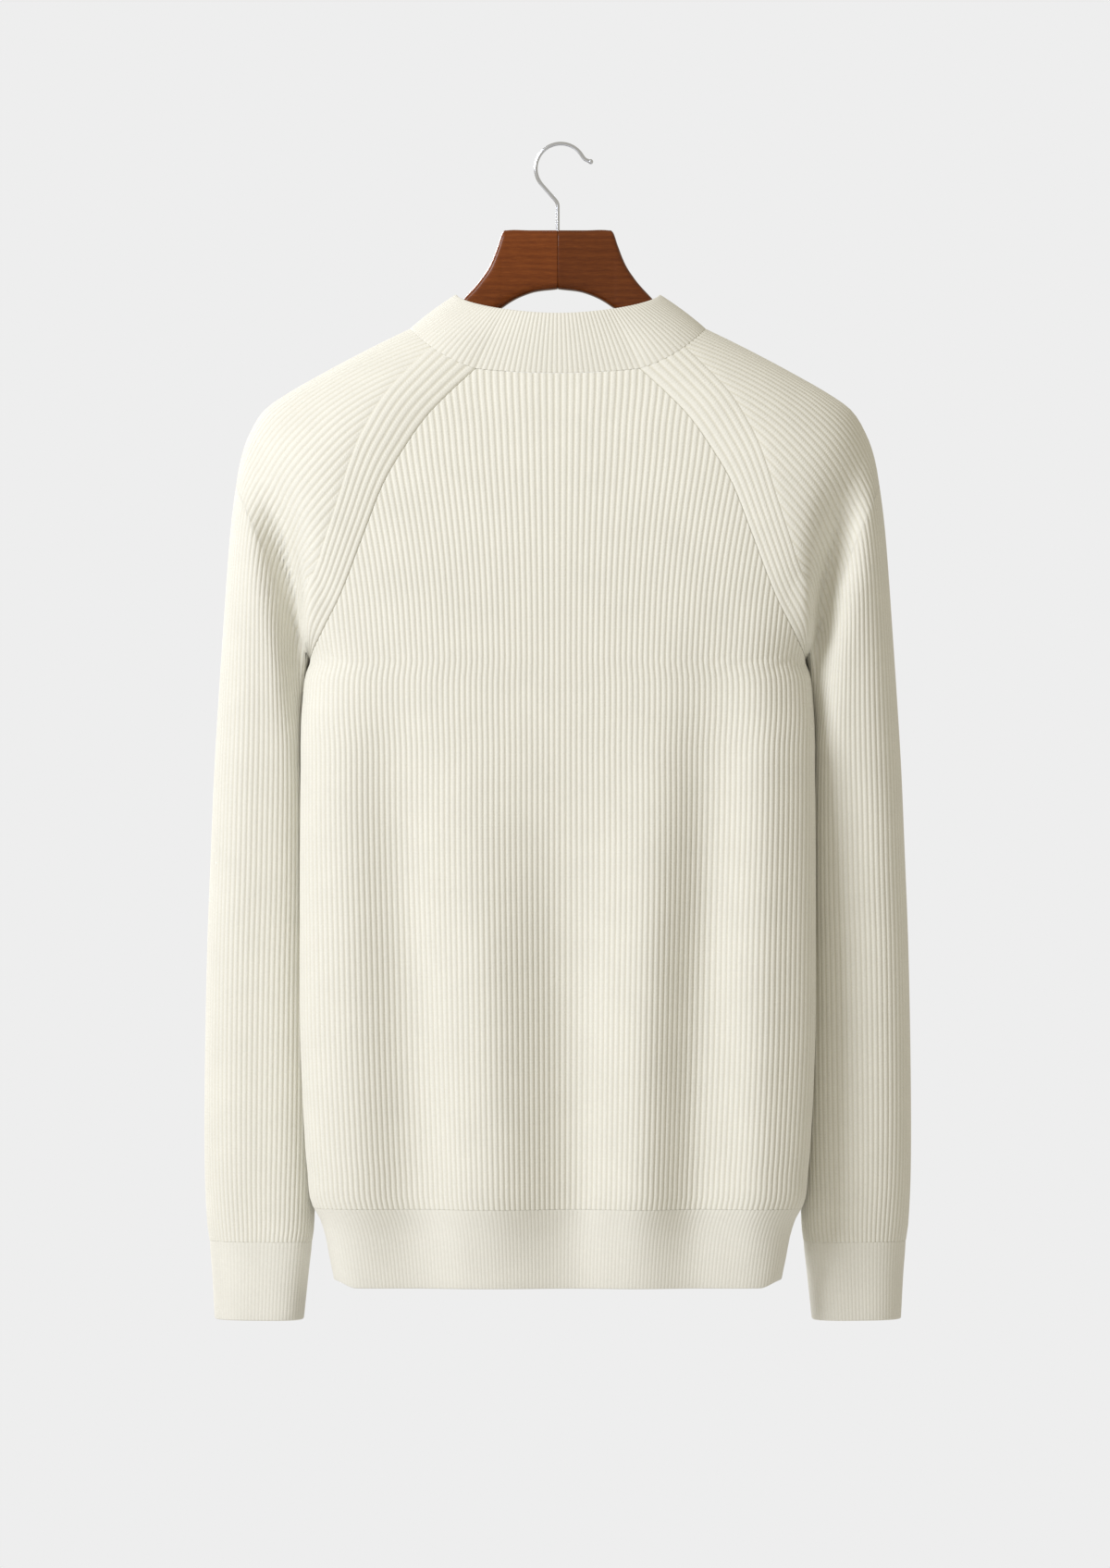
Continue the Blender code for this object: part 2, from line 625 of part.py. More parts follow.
def arm(name, sign, into):
    """Half of the wooden hanger, lofted through upright sections from the middle joint out."""
    mesh = bmesh.new()
    rings = []
    for x, top, bottom, thick, forward in ARM:
        ring = []
        for k in range(ARM_SIDES):
            angle = 2 * math.pi * (k + 0.5) / ARM_SIDES
            c, s = math.cos(angle), math.sin(angle)
            y = forward + thick * math.copysign(abs(c) ** (2 / ARM_ROUNDNESS), c)
            z = -(top + bottom) / 2 + (bottom - top) / 2 * math.copysign(abs(s) ** (2 / ARM_ROUNDNESS), s)
            start = JOINT_GAP / 2 if x == 0 else x
            ring.append(mesh.verts.new((sign * start * MM, y * MM, z * MM)))
        rings.append(ring)
    for a, b in zip(rings, rings[1:]):
        for k in range(ARM_SIDES):
            n = (k + 1) % ARM_SIDES
            mesh.faces.new((a[k], a[n], b[n], b[k]))
    mesh.faces.new(rings[0])
    mesh.faces.new(rings[-1])
    bmesh.ops.recalc_face_normals(mesh, faces=mesh.faces)
    for face in mesh.faces:
        face.smooth = len(face.verts) == 4
    data = bpy.data.meshes.new(name)
    mesh.to_mesh(data)
    mesh.free()
    return add_object(name, data, "wood", into)


def hook_line():
    """The hook's centre line, from its ball end round the bend and down the stem: x, down."""
    centre_down = HOOK_RADIUS - WIRE_RADIUS
    points = [HOOK_FLARE[2], HOOK_FLARE[1], HOOK_FLARE[0]]
    for angle in np.radians(np.linspace(HOOK_START_ANGLE, HOOK_END_ANGLE, 33)):
        points.append((HOOK_CENTRE_X + HOOK_RADIUS * math.cos(angle),
                       centre_down - HOOK_RADIUS * math.sin(angle)))
    return points + list(HOOK_BEND) + [(0.0, 52.0), (0.0, 61.0), (0.0, STEM_FOOT_DOWN)]


def hook(into, cutters):
    """Bent wire with a ball on its free end."""
    curve = bpy.data.curves.new("hook_wire", "CURVE")
    curve.dimensions = "3D"
    curve.bevel_depth = WIRE_RADIUS * MM
    curve.bevel_resolution = 2
    curve.use_fill_caps = True
    line = hook_line()
    path = curve.splines.new("POLY")
    path.points.add(len(line) - 1)
    for point, (x, down) in zip(path.points, line):
        point.co = (x * MM, 0.0, -down * MM, 1.0)
    wire = bpy.data.objects.new("hook_wire", curve)
    cutters.objects.link(wire)
    bpy.context.view_layer.update()
    graph = bpy.context.evaluated_depsgraph_get()
    data = bpy.data.meshes.new_from_object(wire.evaluated_get(graph))
    tidy = bmesh.new()
    tidy.from_mesh(data)
    bmesh.ops.remove_doubles(tidy, verts=tidy.verts, dist=0.00001)
    bmesh.ops.recalc_face_normals(tidy, faces=tidy.faces)
    for face in tidy.faces:
        face.smooth = True
    tidy.to_mesh(data)
    tidy.free()
    made = add_object("hook", data, "steel", into)
    made.matrix_world = wire.matrix_world
    bpy.data.objects.remove(wire)
    bpy.ops.mesh.primitive_uv_sphere_add(
        segments=16, ring_count=10, radius=BALL_RADIUS * MM,
        location=(HOOK_FLARE[2][0] * MM, 0.0, -HOOK_FLARE[2][1] * MM))
    ball = bpy.context.object
    ball.name = "hook_ball"
    for owner in list(ball.users_collection):
        owner.objects.unlink(ball)
    cutters.objects.link(ball)
    cut(made, ball, "UNION")


def hanger(into, cutters):
    arms = [arm("hanger_arm_right", 1, into), arm("hanger_arm_left", -1, into)]
    top = ARM[0, 1]
    depth = STEM_FOOT_DOWN + STEM_CLEARANCE - top + 5.0
    bpy.ops.mesh.primitive_cylinder_add(
        vertices=16, radius=(WIRE_RADIUS + STEM_CLEARANCE) * MM, depth=depth * MM,
        location=(0.0, 0.0, -(STEM_FOOT_DOWN + STEM_CLEARANCE - depth / 2) * MM))
    drill = bpy.context.object
    drill.name = "stem_drill"
    for owner in list(drill.users_collection):
        owner.objects.unlink(drill)
    cutters.objects.link(drill)
    for half in arms:
        cut(half, drill)
    hook(into, cutters)


def main():
    clear_scene()
    sweater = collection("henley_sweater")
    cutters = collection("cutters")
    panels = torso(sweater)
    sleeve_neck = sleeves(sweater)
    line, out = collar_and_placket(panels, sleeve_neck, sweater)
    buttons(line, out, sweater, cutters)
    hanger(sweater, cutters)


main()
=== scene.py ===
"""The looks of the ribbed raglan sweater on its hanger. Lengths are in millimetres, and "down" is how
far a point lies below the hook's bearing point, as in the part's own source."""

import json
import math

import bpy
import numpy as np
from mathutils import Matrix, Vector

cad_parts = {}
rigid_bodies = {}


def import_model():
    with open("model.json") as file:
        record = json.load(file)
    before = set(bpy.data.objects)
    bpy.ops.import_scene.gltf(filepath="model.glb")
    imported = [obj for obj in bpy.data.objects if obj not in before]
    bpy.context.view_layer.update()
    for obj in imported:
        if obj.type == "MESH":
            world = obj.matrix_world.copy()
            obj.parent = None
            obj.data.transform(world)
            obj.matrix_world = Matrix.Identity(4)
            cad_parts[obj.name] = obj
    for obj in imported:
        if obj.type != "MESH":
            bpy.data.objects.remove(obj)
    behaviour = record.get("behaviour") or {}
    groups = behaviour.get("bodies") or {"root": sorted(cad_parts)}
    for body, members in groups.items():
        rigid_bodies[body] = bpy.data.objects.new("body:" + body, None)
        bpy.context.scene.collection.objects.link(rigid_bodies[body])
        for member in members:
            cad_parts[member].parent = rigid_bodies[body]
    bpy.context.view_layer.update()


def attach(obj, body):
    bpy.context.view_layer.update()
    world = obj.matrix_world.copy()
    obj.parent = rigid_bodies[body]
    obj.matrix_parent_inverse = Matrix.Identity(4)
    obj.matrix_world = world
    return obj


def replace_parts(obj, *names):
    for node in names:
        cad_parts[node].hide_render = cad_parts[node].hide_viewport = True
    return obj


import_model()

MM = 0.001
BACK, FRONT = -1, 1
SIDES = ((BACK, "back"), (FRONT, "front"))

# The cloth's form, near to the one in the part's source
BODY_ROUNDNESS = {BACK: 4.0, FRONT: 3.0}
SIDE_FOLD_BACK = 13.0
SLEEVE_ROUNDNESS = (2.2, 2.9)    # over the yoke, and below the underarm
UNDERARM_DOWN = 371.4
HEM_SEAM_DOWN = 763.0
HEM_DOWN = 819.7
NECK_DOWN = {BACK: 166.2, FRONT: 217.0}
NECK_HALF_WIDTH = 106.6
NECK_BACK_DEPTH = 50.0
NECK_FRONT_DEPTH = 56.0
COLLAR_TOP_HALF_WIDTH = 73.0
COLLAR_TOP_BACK = 47.0
COLLAR_TOP_FRONT = 52.0
COLLAR_TOP_SIDE_DOWN = 107.0
COLLAR_BACK_DROP = 15.7
COLLAR_FRONT_DROP = 70.0
COLLAR_BULGE = 1.5
COLLAR_ROUNDNESS = 2.4
HEM_SIDE_LIFT = 5.0      # how much higher the hem hangs at the side seams
PLACKET_HALF_WIDTH = 16.0
PLACKET_SINK = 2.6       # how far the front panel lies under the placket
UNDERARM_ROW = 8.0
CUFF_SEAM_ROW = 20.0
CUFF_ROW = 23.0

# Cloth thickness and seams
KNIT_WALL = 2.2
FINE_WALL = 2.0
COLLAR_WALL = 2.8
SEAM_GAP = 0.04
SEAM_EDGE = 0.85     # the share of the wall left where one piece meets the next
EDGE_STEPS = np.array([0.0, 0.18, 0.55, 1.1])   # rows that round a piece's edge over

# Ribs
RIB_PHASES = (0.0, 0.2, 0.5, 0.8)
RIB_HEIGHTS = (0.0, 0.82, 1.0, 0.82)
RIB_SINK = 0.7           # the share of the relief that lies below the solid's face
BODY_RIBS = 115
BODY_RIB_RELIEF = 0.8
SLEEVE_MAIN_RIBS = 32
SLEEVE_BAND_RIBS = 6
SLEEVE_RIB_RELIEF = 0.75
COLLAR_RIBS = 164
COLLAR_RIB_RELIEF = 0.5
HEM_RIBS = 150
CUFF_RIBS = 84
FINE_RIB_RELIEF = 0.22
PLACKET_RIB_RELIEF = 0.35
PLACKETS = (
    # name, half_width, ribs, offset from the front panel
    ("placket_over", 15.6, 12, 0.9),
    ("placket_under", 18.0, 14, -4.6),
)

BODY = np.array([
    # down, half_width, back, front
    (125.0, 98.0, 40.0, 38.0),
    (141.7, 126.2, 43.5, 41.5),
    (157.6, 156.8, 47.5, 44.5),
    (173.6, 186.5, 52.0, 47.5),
    (194.9, 214.8, 58.0, 51.5),
    (235.0, 222.0, 66.0, 61.0),
    (275.0, 215.0, 70.5, 69.5),
    (315.0, 202.0, 72.5, 74.0),
    (345.0, 190.0, 72.5, 75.0),
    (362.0, 181.5, 73.0, 75.0),
    (371.4, 178.0, 73.0, 75.0),
    (382.0, 181.6, 73.0, 75.0),
    (400.0, 183.4, 73.0, 75.0),
    (450.0, 184.2, 73.0, 74.5),
    (560.0, 184.8, 71.0, 72.5),
    (650.0, 184.2, 69.0, 70.5),
    (700.0, 182.0, 67.5, 69.0),
    (735.0, 179.5, 66.5, 68.0),
    (763.0, 175.0, 65.0, 66.5),
    (770.0, 171.0, 63.5, 65.0),
    (780.0, 167.5, 61.5, 63.0),
    (797.0, 164.0, 60.0, 61.5),
    (819.7, 160.5, 59.0, 60.5),
])

# Lines across the sleeve over the yoke, from the back seam to the front one
YOKE = (
    # top_x, top_down, back_x, back_down, front_x, front_down, depth, bow
    (106.6, 132.3, 58.6, 162.9, 80.0, 188.5, 48.6, 4.0),
    (127.0, 142.2, 75.9, 178.9, 90.0, 205.0, 53.4, 3.5),
    (150.0, 154.0, 93.2, 196.9, 100.0, 222.0, 58.0, 3.0),
    (172.5, 166.2, 107.9, 217.6, 110.0, 240.0, 61.0, 2.5),
    (194.0, 178.5, 123.9, 244.9, 122.0, 262.0, 64.0, 2.0),
    (211.5, 191.2, 138.5, 282.2, 136.0, 290.0, 65.5, 1.5),
    (222.0, 208.5, 153.8, 322.1, 152.0, 322.0, 65.0, 1.0),
    (227.8, 225.5, 168.5, 351.4, 167.0, 351.4, 62.0, 0.5),
    (231.2, 245.0, 178.0, 371.4, 178.0, 371.4, 58.5, 0.0),
)

# Rings round the sleeve below the underarm: rows 9 to 20, and the cuff's to 23
TUBE = (
    # outer_x, outer_down, inner_x, inner_down, outer_forward, inner_forward, depth
    (234.8, 273.0, 180.4, 392.0, 1.0, 3.4, 55.0),
    (237.7, 307.0, 181.3, 415.0, 3.5, 8.5, 53.5),
    (240.5, 346.0, 181.0, 440.0, 7.5, 14.5, 53.5),
    (244.0, 395.0, 179.3, 475.0, 12.0, 20.5, 53.0),
    (247.5, 450.0, 178.0, 512.0, 16.5, 24.5, 51.5),
    (250.2, 510.0, 177.2, 553.0, 20.5, 27.0, 49.5),
    (252.7, 570.0, 176.7, 597.0, 24.0, 27.5, 48.0),
    (254.3, 635.0, 176.2, 650.0, 26.5, 27.5, 46.5),
    (255.1, 700.0, 175.8, 706.0, 28.0, 26.5, 44.5),
    (254.8, 745.0, 175.6, 745.0, 29.0, 24.0, 41.0),
    (253.2, 777.0, 176.2, 777.0, 28.5, 21.0, 36.5),
    (251.5, 789.0, 177.5, 789.0, 28.0, 18.5, 34.5),
    (251.0, 797.0, 178.2, 797.0, 28.0, 18.0, 33.5),
    (249.6, 815.0, 180.3, 815.0, 28.0, 18.0, 32.5),
    (248.0, 845.6, 183.5, 845.6, 28.0, 18.0, 31.5),
)

# Both together: row, top_x, top_down, back_x, back_down, front_x, front_down, top_forward,
# in_forward, depth, bow
SLEEVE = np.array([(row, *line[:6], 0.0, 0.0, *line[6:]) for row, line in enumerate(YOKE)]
                  + [(row, *ring[:4], *ring[2:], 0.0) for row, ring in enumerate(TUBE, len(YOKE))])

# How the sleeve's ribs sit above the underarm: those between the fold and the band, and the band
YOKE_RIBS = np.array([
    # row, main_ribs, band_width
    (0.0, 11.0, 31.0),
    (1.0, 13.5, 30.5),
    (2.0, 16.0, 30.0),
    (3.0, 18.5, 29.5),
    (4.0, 21.0, 29.0),
    (5.0, 24.0, 28.0),
    (6.0, 27.0, 26.0),
    (7.0, 29.6, 23.5),
    (8.0, 32.0, 21.0),
])

# How steeply the sleeve's ribs run down, in degrees
RIB_ANGLE = np.array([
    # row, angle
    (0.0, 27.0),
    (3.0, 28.0),
    (4.0, 32.0),
    (5.0, 47.0),
    (6.0, 64.0),
    (7.0, 74.0),
    (8.0, 80.0),
    (10.0, 86.0),
])

# How much wider a rib is on the body near the neck than under the arms
RIB_WIDENING = np.array([
    # down, widening
    (120.0, 1.27),
    (182.0, 1.25),
    (195.0, 1.22),
    (228.0, 1.17),
    (268.0, 1.10),
    (295.0, 1.06),
    (322.0, 1.03),
    (371.4, 1.0),
])

# Hanging pleats of the torso: a positive height stands out from the body
FOLDS = np.array([
    # side, x_at_start, x_at_hem, width, height, start_down, full_down
    (BACK, -158.0, -150.0, 22.0, 4.0, 300.0, 480.0),
    (BACK, -122.0, -103.0, 27.0, -9.5, 285.0, 620.0),
    (BACK, -66.0, -48.0, 29.0, 8.5, 380.0, 640.0),
    (BACK, -96.0, -72.0, 12.0, 1.6, 430.0, 560.0),
    (BACK, 0.0, 12.0, 27.0, -10.0, 400.0, 640.0),
    (BACK, 72.0, 58.0, 25.0, 8.0, 350.0, 600.0),
    (BACK, 38.0, 30.0, 10.0, 1.4, 470.0, 700.0),
    (BACK, 110.0, 99.0, 22.0, -9.5, 300.0, 600.0),
    (BACK, 150.0, 147.0, 22.0, 6.5, 290.0, 470.0),
    (BACK, 90.0, 126.0, 11.0, -1.3, 340.0, 700.0),
    (FRONT, -150.0, -144.0, 24.0, 5.0, 310.0, 500.0),
    (FRONT, -98.0, -88.0, 28.0, -8.5, 330.0, 640.0),
    (FRONT, -34.0, -42.0, 28.0, 6.5, 470.0, 660.0),
    (FRONT, 22.0, 10.0, 25.0, -8.0, 440.0, 680.0),
    (FRONT, 58.0, 62.0, 26.0, 6.5, 400.0, 620.0),
    (FRONT, 120.0, 106.0, 26.0, -9.5, 310.0, 600.0),
    (FRONT, 154.0, 150.0, 22.0, 4.5, 320.0, 520.0),
    (FRONT, -70.0, -58.0, 12.0, 1.6, 420.0, 620.0),
])
HEM_FOLD_SHARE = 0.45

# The crease that runs up and out from the underarm, as a share of the depth that it takes away
CREASE = np.array([
    # down, x, strength, width_inside, width_outside
    (215.0, 214.0, 0.0, 18.0, 18.0),
    (245.0, 209.0, 0.10, 17.0, 18.0),
    (272.0, 202.0, 0.30, 14.0, 17.0),
    (300.0, 194.5, 0.46, 10.0, 17.0),
    (325.0, 189.0, 0.50, 6.5, 15.0),
    (350.0, 187.0, 0.46, 5.0, 13.0),
    (385.0, 186.0, 0.30, 4.5, 11.0),
    (430.0, 186.0, 0.0, 4.5, 10.0),
])


# ---------------------------------------------------------------- curves and surfaces

def between(t, h, low, high, low_slope, high_slope):
    """A smooth curve over a stretch of length h, with these values and slopes at its ends."""
    return ((2 * t**3 - 3 * t**2 + 1) * low + (t**3 - 2 * t**2 + t) * h * low_slope
            + (3 * t**2 - 2 * t**3) * high + (t**3 - t**2) * h * high_slope)


def spline(table, column, at):
    """A smooth curve through one column of a table whose first column rises."""
    xs, ys = table[:, 0], table[:, column]
    slope = np.gradient(ys, xs)
    at = np.clip(np.asarray(at, float), xs[0], xs[-1])
    i = np.clip(np.searchsorted(xs, at) - 1, 0, len(xs) - 2)
    h = xs[i + 1] - xs[i]
    return between((at - xs[i]) / h, h, ys[i], ys[i + 1], slope[i], slope[i + 1])


def ramp(value, low, high):
    t = np.clip((value - low) / (high - low), 0.0, 1.0)
    return t * t * (3 - 2 * t)


def unit(v):
    return v / np.maximum(np.linalg.norm(v, axis=-1, keepdims=True), 1e-9)


def lengths(line):
    return np.concatenate([[0.0], np.cumsum(np.linalg.norm(np.diff(line, axis=0), axis=1))])


def at_values(values, known, points):
    """Points of a line at these values of a quantity known at each of its points."""
    return np.stack([np.interp(values, known, points[:, k]) for k in range(3)], axis=-1)


def folds(x, down, side):
    total = np.zeros(np.broadcast(x, down).shape)
    for fold_side, x_start, x_hem, width, height, start, full in FOLDS:
        if fold_side == side:
            centre = x_start + (x_hem - x_start) * ramp(down, start, HEM_SEAM_DOWN)
            total += height * ramp(down, start, full) * np.exp(-(((x - centre) / width) ** 2))
    return total * (1 - (1 - HEM_FOLD_SHARE) * ramp(down, HEM_SEAM_DOWN - 20, HEM_DOWN))


def pinch(x, down):
    """The share of the depth that the underarm creases take away."""
    offset = np.abs(x) - spline(CREASE, 1, down)
    width = np.where(offset < 0, spline(CREASE, 3, down), spline(CREASE, 4, down))
    inside = (down > CREASE[0, 0]) & (down < CREASE[-1, 0])
    return np.where(inside, spline(CREASE, 2, down) * np.exp(-((offset / width) ** 2)), 0.0)


def torso_depth(x, down, side):
    share = np.clip(np.abs(x) / spline(BODY, 1, down), 0.0, 1.0)
    depth = spline(BODY, 2 if side == BACK else 3, down)
    power = BODY_ROUNDNESS[side]
    flat = depth * (1 - share**power) ** (1 / power)
    fold_back = SIDE_FOLD_BACK * ramp(down, UNDERARM_DOWN, UNDERARM_DOWN + 70) * share**6
    return side * (flat + folds(x, down, side) * (1 - share**6)) - fold_back


def torso_points(x, down, side):
    y = torso_depth(x, down, side) * (1 - pinch(x, down))
    return np.stack([x, y, down + 0 * x], axis=-1)


def sleeve_row(row):
    """The measures of one line across the sleeve."""
    names = ("top_x", "top_down", "back_x", "back_down", "front_x", "front_down",
             "top_forward", "in_forward", "depth", "bow")
    made = {name: float(spline(SLEEVE, k, row)) for k, name in enumerate(names, 1)}
    if row >= UNDERARM_ROW:
        for end in ("x", "down"):
            mean = (made[f"back_{end}"] + made[f"front_{end}"]) / 2
            made[f"back_{end}"] = made[f"front_{end}"] = mean
        made["bow"] = 0.0
    else:
        made["top_forward"] = made["in_forward"] = 0.0
    return made


def sleeve_line(row, side, samples=161):
    """Half a line round the sleeve, from the outer fold to its inner end: x, y, down."""
    m = sleeve_row(row)
    end = "back" if side == BACK else "front"
    inner = np.array([m[f"{end}_x"], m[f"{end}_down"]])
    outer = np.array([m["top_x"], m["top_down"]])
    inner_depth = 0.0
    if row < UNDERARM_ROW:
        inner_depth = abs(float(torso_depth(inner[0], inner[1], side)))
    depth = max(m["depth"], inner_depth * 1.015)
    n = float(np.interp(row, (UNDERARM_ROW - 1, UNDERARM_ROW + 3), SLEEVE_ROUNDNESS))
    reach = (1 - (inner_depth / depth) ** n) ** (1 / n)
    chord = outer - inner
    half = np.linalg.norm(chord) / (1 + reach)
    along = -np.cos(np.linspace(math.acos(reach), math.pi, samples))
    y = depth * (1 - np.minimum(np.abs(along), 1.0) ** n) ** (1 / n)
    way = chord / np.linalg.norm(chord)
    place = outer + np.outer((along - 1) * half, way)
    t = (along + reach) / (1 + reach)
    place += np.outer(4 * m["bow"] * t * (1 - t), [-way[1], way[0]])
    y = side * y + m["in_forward"] + (m["top_forward"] - m["in_forward"]) * t
    y = y * (1 - pinch(place[:, 0], place[:, 1]))
    return np.stack([place[:, 0], y, place[:, 1]], axis=1)[::-1]


# ---------------------------------------------------------------- meshes

def to_metres(points):
    return np.stack([points[..., 0], points[..., 1], -points[..., 2]], axis=-1) * MM


def facing_out(grid):
    """Unit normals of a grid whose rows go down and whose columns go round the garment."""
    normal = np.cross(np.gradient(grid, axis=1), np.gradient(grid, axis=0))
    return unit(normal)


def edge_profile(least=0.0):
    """The share of the wall left at each step in from an edge: round at a free edge, and only eased
    where the piece meets the next."""
    reach = EDGE_STEPS[-1]
    return least + (1 - least) * np.sqrt(1 - (1 - EDGE_STEPS / reach) ** 2)


def edged(shape, top=0.0, foot=0.0):
    """The wall's shares over a grid, with its first and last rows eased."""
    thick = np.ones(shape)
    thick[: len(EDGE_STEPS)] = edge_profile(top)[:, None]
    thick[-len(EDGE_STEPS):] = edge_profile(foot)[::-1, None]
    return thick


def patch(base, u, v, height, wall, thick, normal=None):
    """One grid of a piece. base is the face of its solid, height how far the ribs stand off that,
    and thick the share of the wall left at a rounded edge."""
    normal = facing_out(base) if normal is None else normal
    middle = base - normal * (wall / 2)
    outer = middle + normal * ((wall / 2) * thick + height * thick)[..., None]
    inner = middle - normal * ((wall / 2) * thick - 0.3 * height * thick)[..., None]
    uv = np.stack([np.broadcast_to(u, base.shape[:2]), np.broadcast_to(v, base.shape[:2])], axis=-1)
    return {"base": base, "outer": outer, "inner": inner, "uv": uv}


def gathered(patches, key):
    """The points of all patches as one list."""
    return np.concatenate([p[key].reshape(-1, p[key].shape[-1]) for p in patches])


def averaged(points, index):
    """The mean of the points that share an index."""
    totals = np.stack([np.bincount(index, points[:, k]) for k in range(3)], axis=1)
    return totals / np.bincount(index)[:, None]


def edges_of(faces):
    return np.stack([faces, np.roll(faces, -1, axis=1)], axis=-1).reshape(-1, 2)


def build(name, patches, material, keep=None):
    """Joins grids into one closed wall of cloth: points that fall together are welded, and every
    free edge gets a rim. keep says which faces stay, from their middle points."""
    base, uv = gathered(patches, "base"), gathered(patches, "uv")
    _, index = np.unique(np.round(base, 3), axis=0, return_inverse=True)
    index = index.reshape(-1)
    outer, inner = (averaged(gathered(patches, key), index) for key in ("outer", "inner"))
    quads = []
    offset = 0
    for p in patches:
        rows, columns = p["base"].shape[:2]
        ids = offset + np.arange(rows * columns).reshape(rows, columns)
        # wound so that it faces out once "down" is turned into height
        cells = np.stack([ids[:-1, :-1], ids[1:, :-1], ids[1:, 1:], ids[:-1, 1:]], axis=-1)
        quads.append(cells.reshape(-1, 4))
        offset += rows * columns
    corners = np.concatenate(quads)
    if keep is not None:
        corners = corners[keep(base[corners].mean(axis=1))]
    faces = index[corners]
    same = faces == np.roll(faces, -1, axis=1)
    faces, corners = faces[same.sum(axis=1) < 2], corners[same.sum(axis=1) < 2]
    same = faces == np.roll(faces, -1, axis=1)
    whole = ~same.any(axis=1)
    tri_keep = ~same[~whole]
    tris = faces[~whole][tri_keep].reshape(-1, 3)
    tri_corners = corners[~whole][tri_keep].reshape(-1, 3)
    quads, quad_corners = faces[whole], corners[whole]
    edges = np.concatenate([edges_of(quads), edges_of(tris)])
    edge_corners = np.concatenate([edges_of(quad_corners), edges_of(tri_corners)])
    n = len(outer)
    keys, back_keys = edges[:, 0] * n + edges[:, 1], edges[:, 1] * n + edges[:, 0]
    free = ~np.isin(keys, back_keys)
    a, b = edges[free].T
    ca, cb = edge_corners[free].T
    all_quads = np.concatenate([quads, quads[:, ::-1] + n, np.stack([b, a, a + n, b + n], axis=1)])
    all_quad_corners = np.concatenate([
        quad_corners, quad_corners[:, ::-1], np.stack([cb, ca, ca, cb], axis=1)])
    all_tris = np.concatenate([tris, tris[:, ::-1] + n])
    all_tri_corners = np.concatenate([tri_corners, tri_corners[:, ::-1]])
    used, loops = np.unique(
        np.concatenate([all_quads.reshape(-1), all_tris.reshape(-1)]), return_inverse=True)
    points = to_metres(np.concatenate([outer, inner]))[used]
    loop_uv = uv[np.concatenate([all_quad_corners.reshape(-1), all_tri_corners.reshape(-1)])]
    sizes = np.concatenate([np.full(len(all_quads), 4), np.full(len(all_tris), 3)])
    rims = np.concatenate([np.stack([a, b], axis=1), np.stack([a, b], axis=1) + n])
    rims = np.searchsorted(used, rims)
    return mesh_object(name, points, loops.reshape(-1), sizes, material, loop_uv, rims)


def mesh_object(name, points, loops, sizes, material, uv=None, sharp=None):
    mesh = bpy.data.meshes.new(name)
    mesh.vertices.add(len(points))
    mesh.vertices.foreach_set("co", points.astype(np.float32).reshape(-1))
    mesh.loops.add(len(loops))
    mesh.loops.foreach_set("vertex_index", loops.astype(np.int32))
    mesh.polygons.add(len(sizes))
    starts = np.concatenate([[0], np.cumsum(sizes)[:-1]])
    mesh.polygons.foreach_set("loop_start", starts.astype(np.int32))
    mesh.polygons.foreach_set("use_smooth", np.ones(len(sizes), bool))
    if uv is not None:
        layer = mesh.uv_layers.new(name="knit")
        layer.data.foreach_set("uv", uv.astype(np.float32).reshape(-1))
    mesh.update(calc_edges=True)
    if sharp is not None:
        ends = np.empty(2 * len(mesh.edges), np.int32)
        mesh.edges.foreach_get("vertices", ends)
        key = np.sort(ends.reshape(-1, 2).astype(np.int64), axis=1) @ (len(points), 1)
        wanted = np.sort(sharp.astype(np.int64), axis=1) @ (len(points), 1)
        hard = mesh.attributes.new("sharp_edge", "BOOLEAN", "EDGE")
        hard.data.foreach_set("value", np.isin(key, wanted))
    mesh.materials.append(material)
    obj = bpy.data.objects.new(name, mesh)
    bpy.context.scene.collection.objects.link(obj)
    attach(obj, "root")
    return obj


def rib_columns(count):
    """Where the mesh columns of some ribs lie, counted in ribs, and how high each one stands."""
    at = (np.arange(count)[:, None] + np.array(RIB_PHASES)).reshape(-1)
    height = np.tile(RIB_HEIGHTS, count)
    return np.append(at, count), np.append(height, 0.0)


def relief(heights, amount, like):
    """How far ribs of these heights stand off the solid's face, over a grid."""
    return (heights - RIB_SINK) * amount + 0 * like


def spaced(start, end, steps, start_scale=1.0):
    """Values from start to end with close ones at either end, one set for each column."""
    start, end = np.broadcast_arrays(np.asarray(start, float), np.asarray(end, float))
    first = start + np.outer(EDGE_STEPS, np.ones(start.shape)) * start_scale
    last = end - np.outer(EDGE_STEPS[::-1], np.ones(start.shape))
    t = np.linspace(0, 1, steps + 2)[1:-1, None]
    return np.concatenate([first, first[-1] + (last[0] - first[-1]) * t, last])


# ---------------------------------------------------------------- torso

def seam_line():
    """The raglan seams as dense curves: side to (x, down)."""
    rows = np.linspace(0, UNDERARM_ROW, 400)
    made = {}
    for side, x_column in ((BACK, 3), (FRONT, 5)):
        made[side] = np.stack([spline(SLEEVE, x_column, rows), spline(SLEEVE, x_column + 1, rows)], axis=1)
    return made


SEAM = seam_line()


def top_of_panel(x, side):
    """Where a panel ends at the neck or the raglan seam."""
    seam = SEAM[side]
    x = np.abs(x)
    neck_x, neck_down = seam[0]
    neck = NECK_DOWN[side] + (neck_down - NECK_DOWN[side]) * (x / neck_x) ** 2
    return np.where(x < neck_x, neck, np.interp(x, seam[:, 0], seam[:, 1]))


def across_torso(level, side, sign):
    """Dense x from the middle to one side, and the distance along the cloth to each."""
    x = float(spline(BODY, 1, level)) * np.sin(np.linspace(0, math.pi / 2, 500))
    return x, lengths(torso_points(sign * x, np.full_like(x, level), side))


